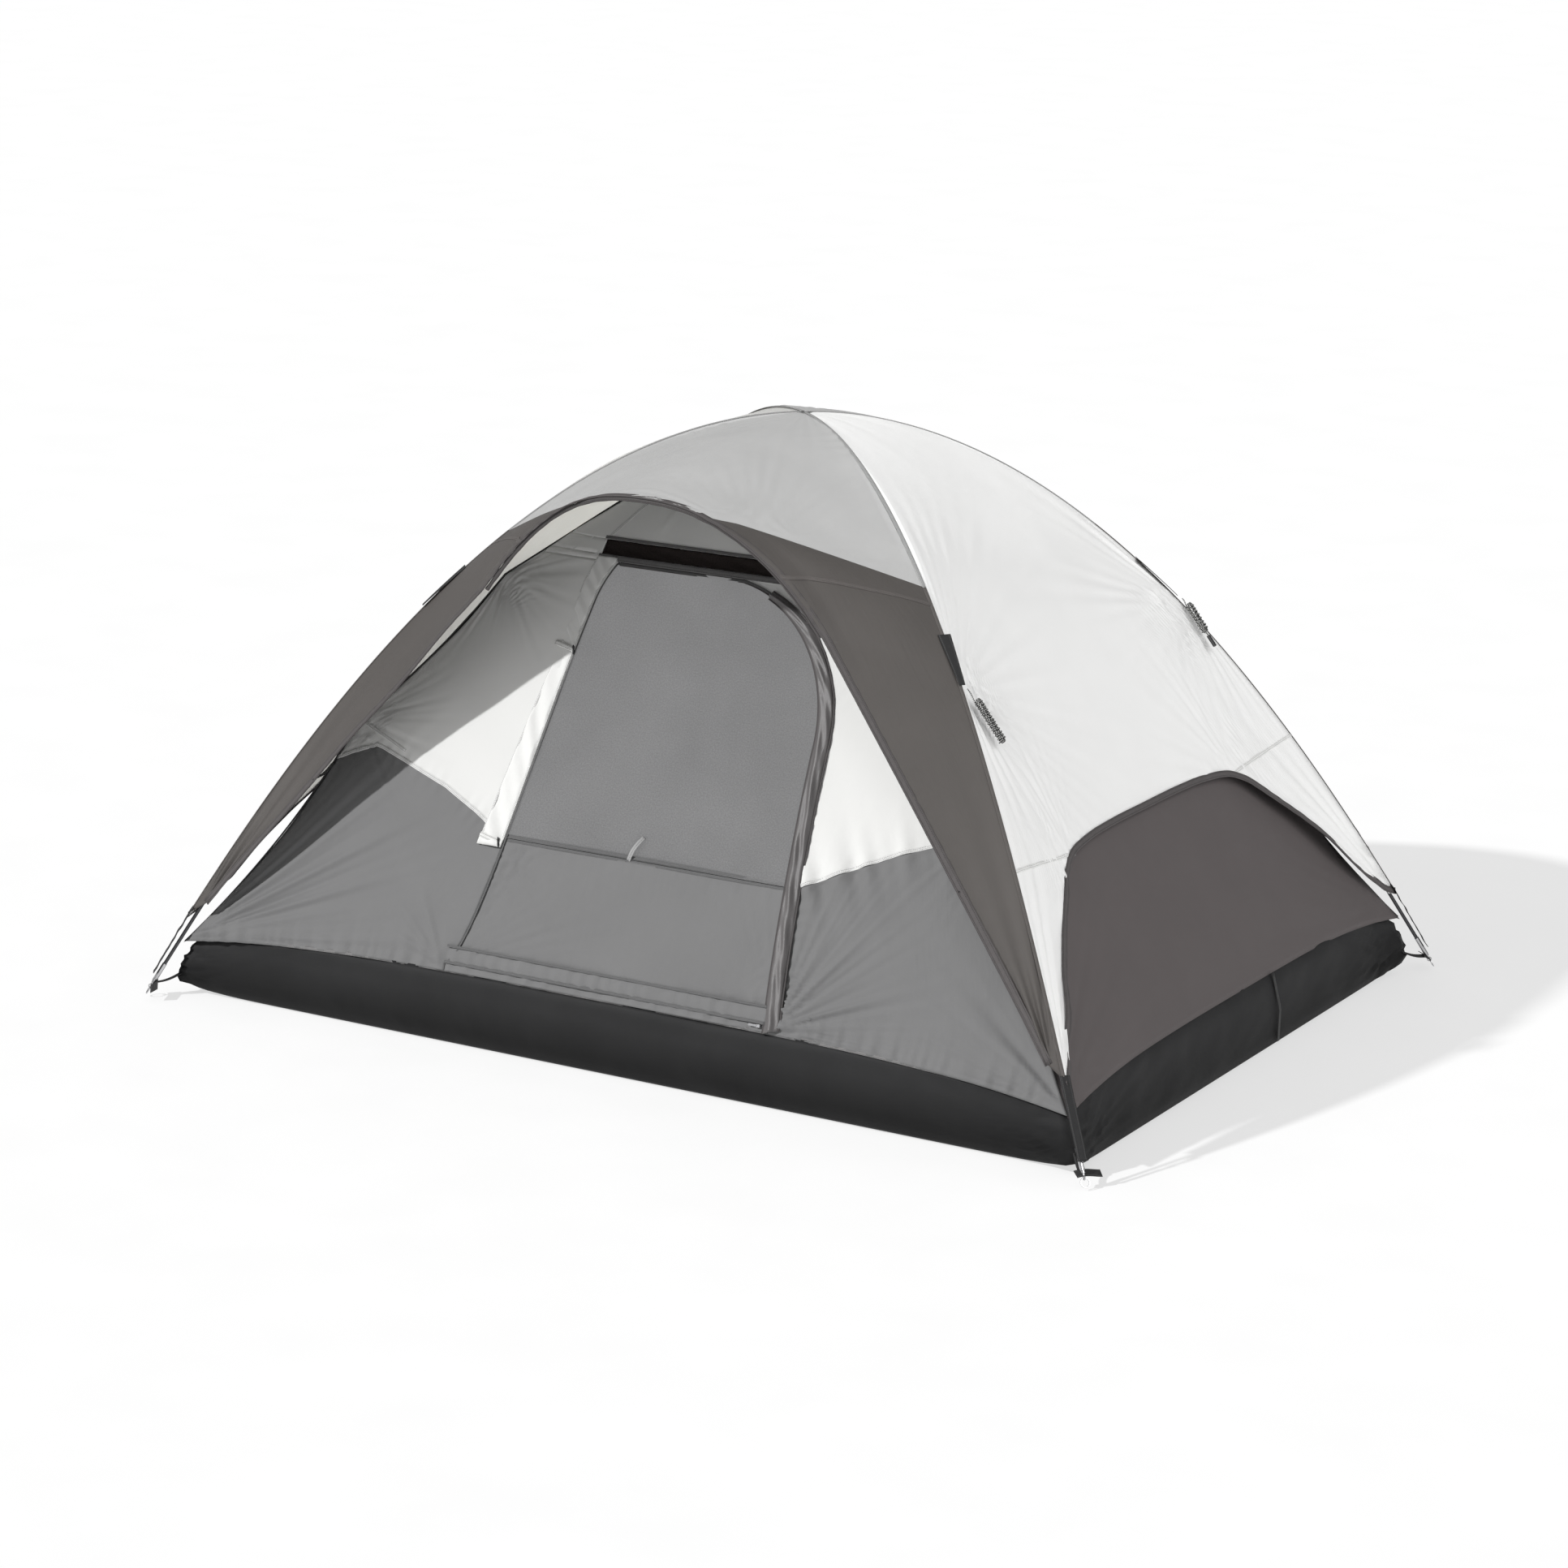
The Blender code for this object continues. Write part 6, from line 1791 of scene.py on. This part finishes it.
for nm in ("corner_pin_", "corner_ring_"):
    for c in CORNERS:
        ob = frame["nodes"][nm + c]
        ob.data.materials.clear()
        ob.data.materials.append(M["steel"])
for nme, ob in frame["nodes"].items():
    if nme.startswith("clip_") or nme == "line_tensioner":
        ob.data.materials.clear()
        ob.data.materials.append(M["black_plastic"])
    if nme.startswith("zip_slider"):
        ob.data.materials.clear()
        ob.data.materials.append(M["zip"])
    if nme.endswith("shock_cord"):
        ob.data.materials.clear()
        ob.data.materials.append(M["elastic"])


def measured_area(ob):
    bm = bmesh.new()
    bm.from_mesh(ob.data)
    a = sum(f.calc_area() for f in bm.faces)
    bm.free()
    return a


def SIZE_OF(ob):
    """Flat size of a narrow strip: its length and its area over that length."""
    c = np.array([v.co[:] for v in ob.data.vertices])
    w = np.ptp(c, axis=0)
    length = float(np.linalg.norm(w))
    return (round(max(measured_area(ob) / length * 1.02, 0.01), 3), round(length, 3))


def auto(ob, flat):
    a = measured_area(ob)


O = bpy.data.objects
auto(O["front_wall_cloth"], (2.62, 1.55))
auto(O["rear_wall_cloth"], (2.62, 1.55))
auto(O["right_wall_cloth"], (1.95, 1.75))
auto(O["left_wall_cloth"], (1.95, 1.75))
auto(O["door_lower_cloth"], (0.98, 0.33))
auto(O["door_zip_cover"], SIZE_OF(O["door_zip_cover"]))
auto(O["storm_flap_cloth"], SIZE_OF(O["storm_flap_cloth"]))
auto(O["vent_netting_cloth"], SIZE_OF(O["vent_netting_cloth"]))
rc = np.array([v.co[:] for v in O["roof_net"].data.vertices])
auto(O["roof_net"], tuple(round(float(k) * 1.01, 3) for k in np.ptp(rc, axis=0)[:2]))
auto(O["door_netting_cloth"], (0.85, 0.80))
auto(O["fly_front_cloth"], (2.60, 1.75))
auto(O["fly_rear_cloth"], (2.60, 1.75))
auto(O["fly_right_cloth"], (1.95, 1.95))
auto(O["fly_left_cloth"], (1.95, 1.95))
auto(O["tub_cloth"], (3.05, 2.30))

# ------------------------------------------------------------------ floor and light
me = bpy.data.meshes.new("floor")
bm = bmesh.new()
bmesh.ops.create_grid(bm, x_segments=2, y_segments=2, size=120.0)
bm.to_mesh(me)
bm.free()
floor = bpy.data.objects.new("floor", me)
floor.location = (0, 0, -0.0005)
scene.collection.objects.link(floor)
fm, fnt, fb, fo = new_mat("studio_floor")
fcol = ramp(fnt, noise(fnt, obj_coords(fnt), 3.0, 2.0), [(0.3, (0.40, 0.40, 0.40)), (0.7, (0.42, 0.42, 0.42))])
fnt.links.new(fcol, fb.inputs["Base Color"])
fb.inputs["Roughness"].default_value = 0.9
fb.inputs["Specular IOR Level"].default_value = 0.0
fb.inputs["Emission Color"].default_value = (1, 1, 1, 1)
fb.inputs["Emission Strength"].default_value = 0.64
me.materials.append(fm)

world = bpy.data.worlds.new("studio")
scene.world = world
world.use_nodes = True
bg = world.node_tree.nodes["Background"]
bg.inputs["Color"].default_value = (1, 1, 1, 1)
bg.inputs["Strength"].default_value = 0.35

SUN = Vector((0.52, 0.63, -0.57)).normalized()
sun_data = bpy.data.lights.new("key", "SUN")
sun_data.energy = 2.9
sun_data.angle = math.radians(2.0)
sun = bpy.data.objects.new("key", sun_data)
sun.rotation_mode = "QUATERNION"
sun.rotation_quaternion = SUN.to_track_quat("-Z", "Y")
scene.collection.objects.link(sun)
# soft fill from the right, for the outside of the tent only
FILL = Vector((-0.75, 0.35, -0.55)).normalized()
fill_data = bpy.data.lights.new("fill", "SUN")
fill_data.energy = 2.1
fill_data.angle = math.radians(50.0)
fill = bpy.data.objects.new("fill", fill_data)
fill.rotation_mode = "QUATERNION"
fill.rotation_quaternion = FILL.to_track_quat("-Z", "Y")
scene.collection.objects.link(fill)
outside = bpy.data.collections.new("fill_receivers")
for ob in scene.objects:
    if ob.type != "MESH" or ob == floor:
        continue
    if ob.name.startswith(("front_wall", "door_", "storm_flap", "wall_seam", "clip_brace", "peak_seam",
                           "vent_", "tieback")):
        continue
    outside.objects.link(ob)
fill.light_linking.receiver_collection = outside
# the netting is lit by the same key without the brow's shadow on it
soft_data = bpy.data.lights.new("key_netting", "SUN")
soft_data.energy = 2.5
soft_data.angle = math.radians(10.0)
soft_data.use_shadow = False
soft = bpy.data.objects.new("key_netting", soft_data)
soft.rotation_mode = "QUATERNION"
soft.rotation_quaternion = SUN.to_track_quat("-Z", "Y")
scene.collection.objects.link(soft)
nets = bpy.data.collections.new("netting_receivers")
nets.objects.link(bpy.data.objects["door_netting_cloth"])
soft.light_linking.receiver_collection = nets
rest = bpy.data.collections.new("key_receivers")
for ob in scene.objects:
    if ob.type == "MESH" and ob.name != "door_netting_cloth":
        rest.objects.link(ob)
sun.light_linking.receiver_collection = rest
scene.view_settings.view_transform = "Standard"
scene.view_settings.look = "None"

bpy.context.view_layer.update()
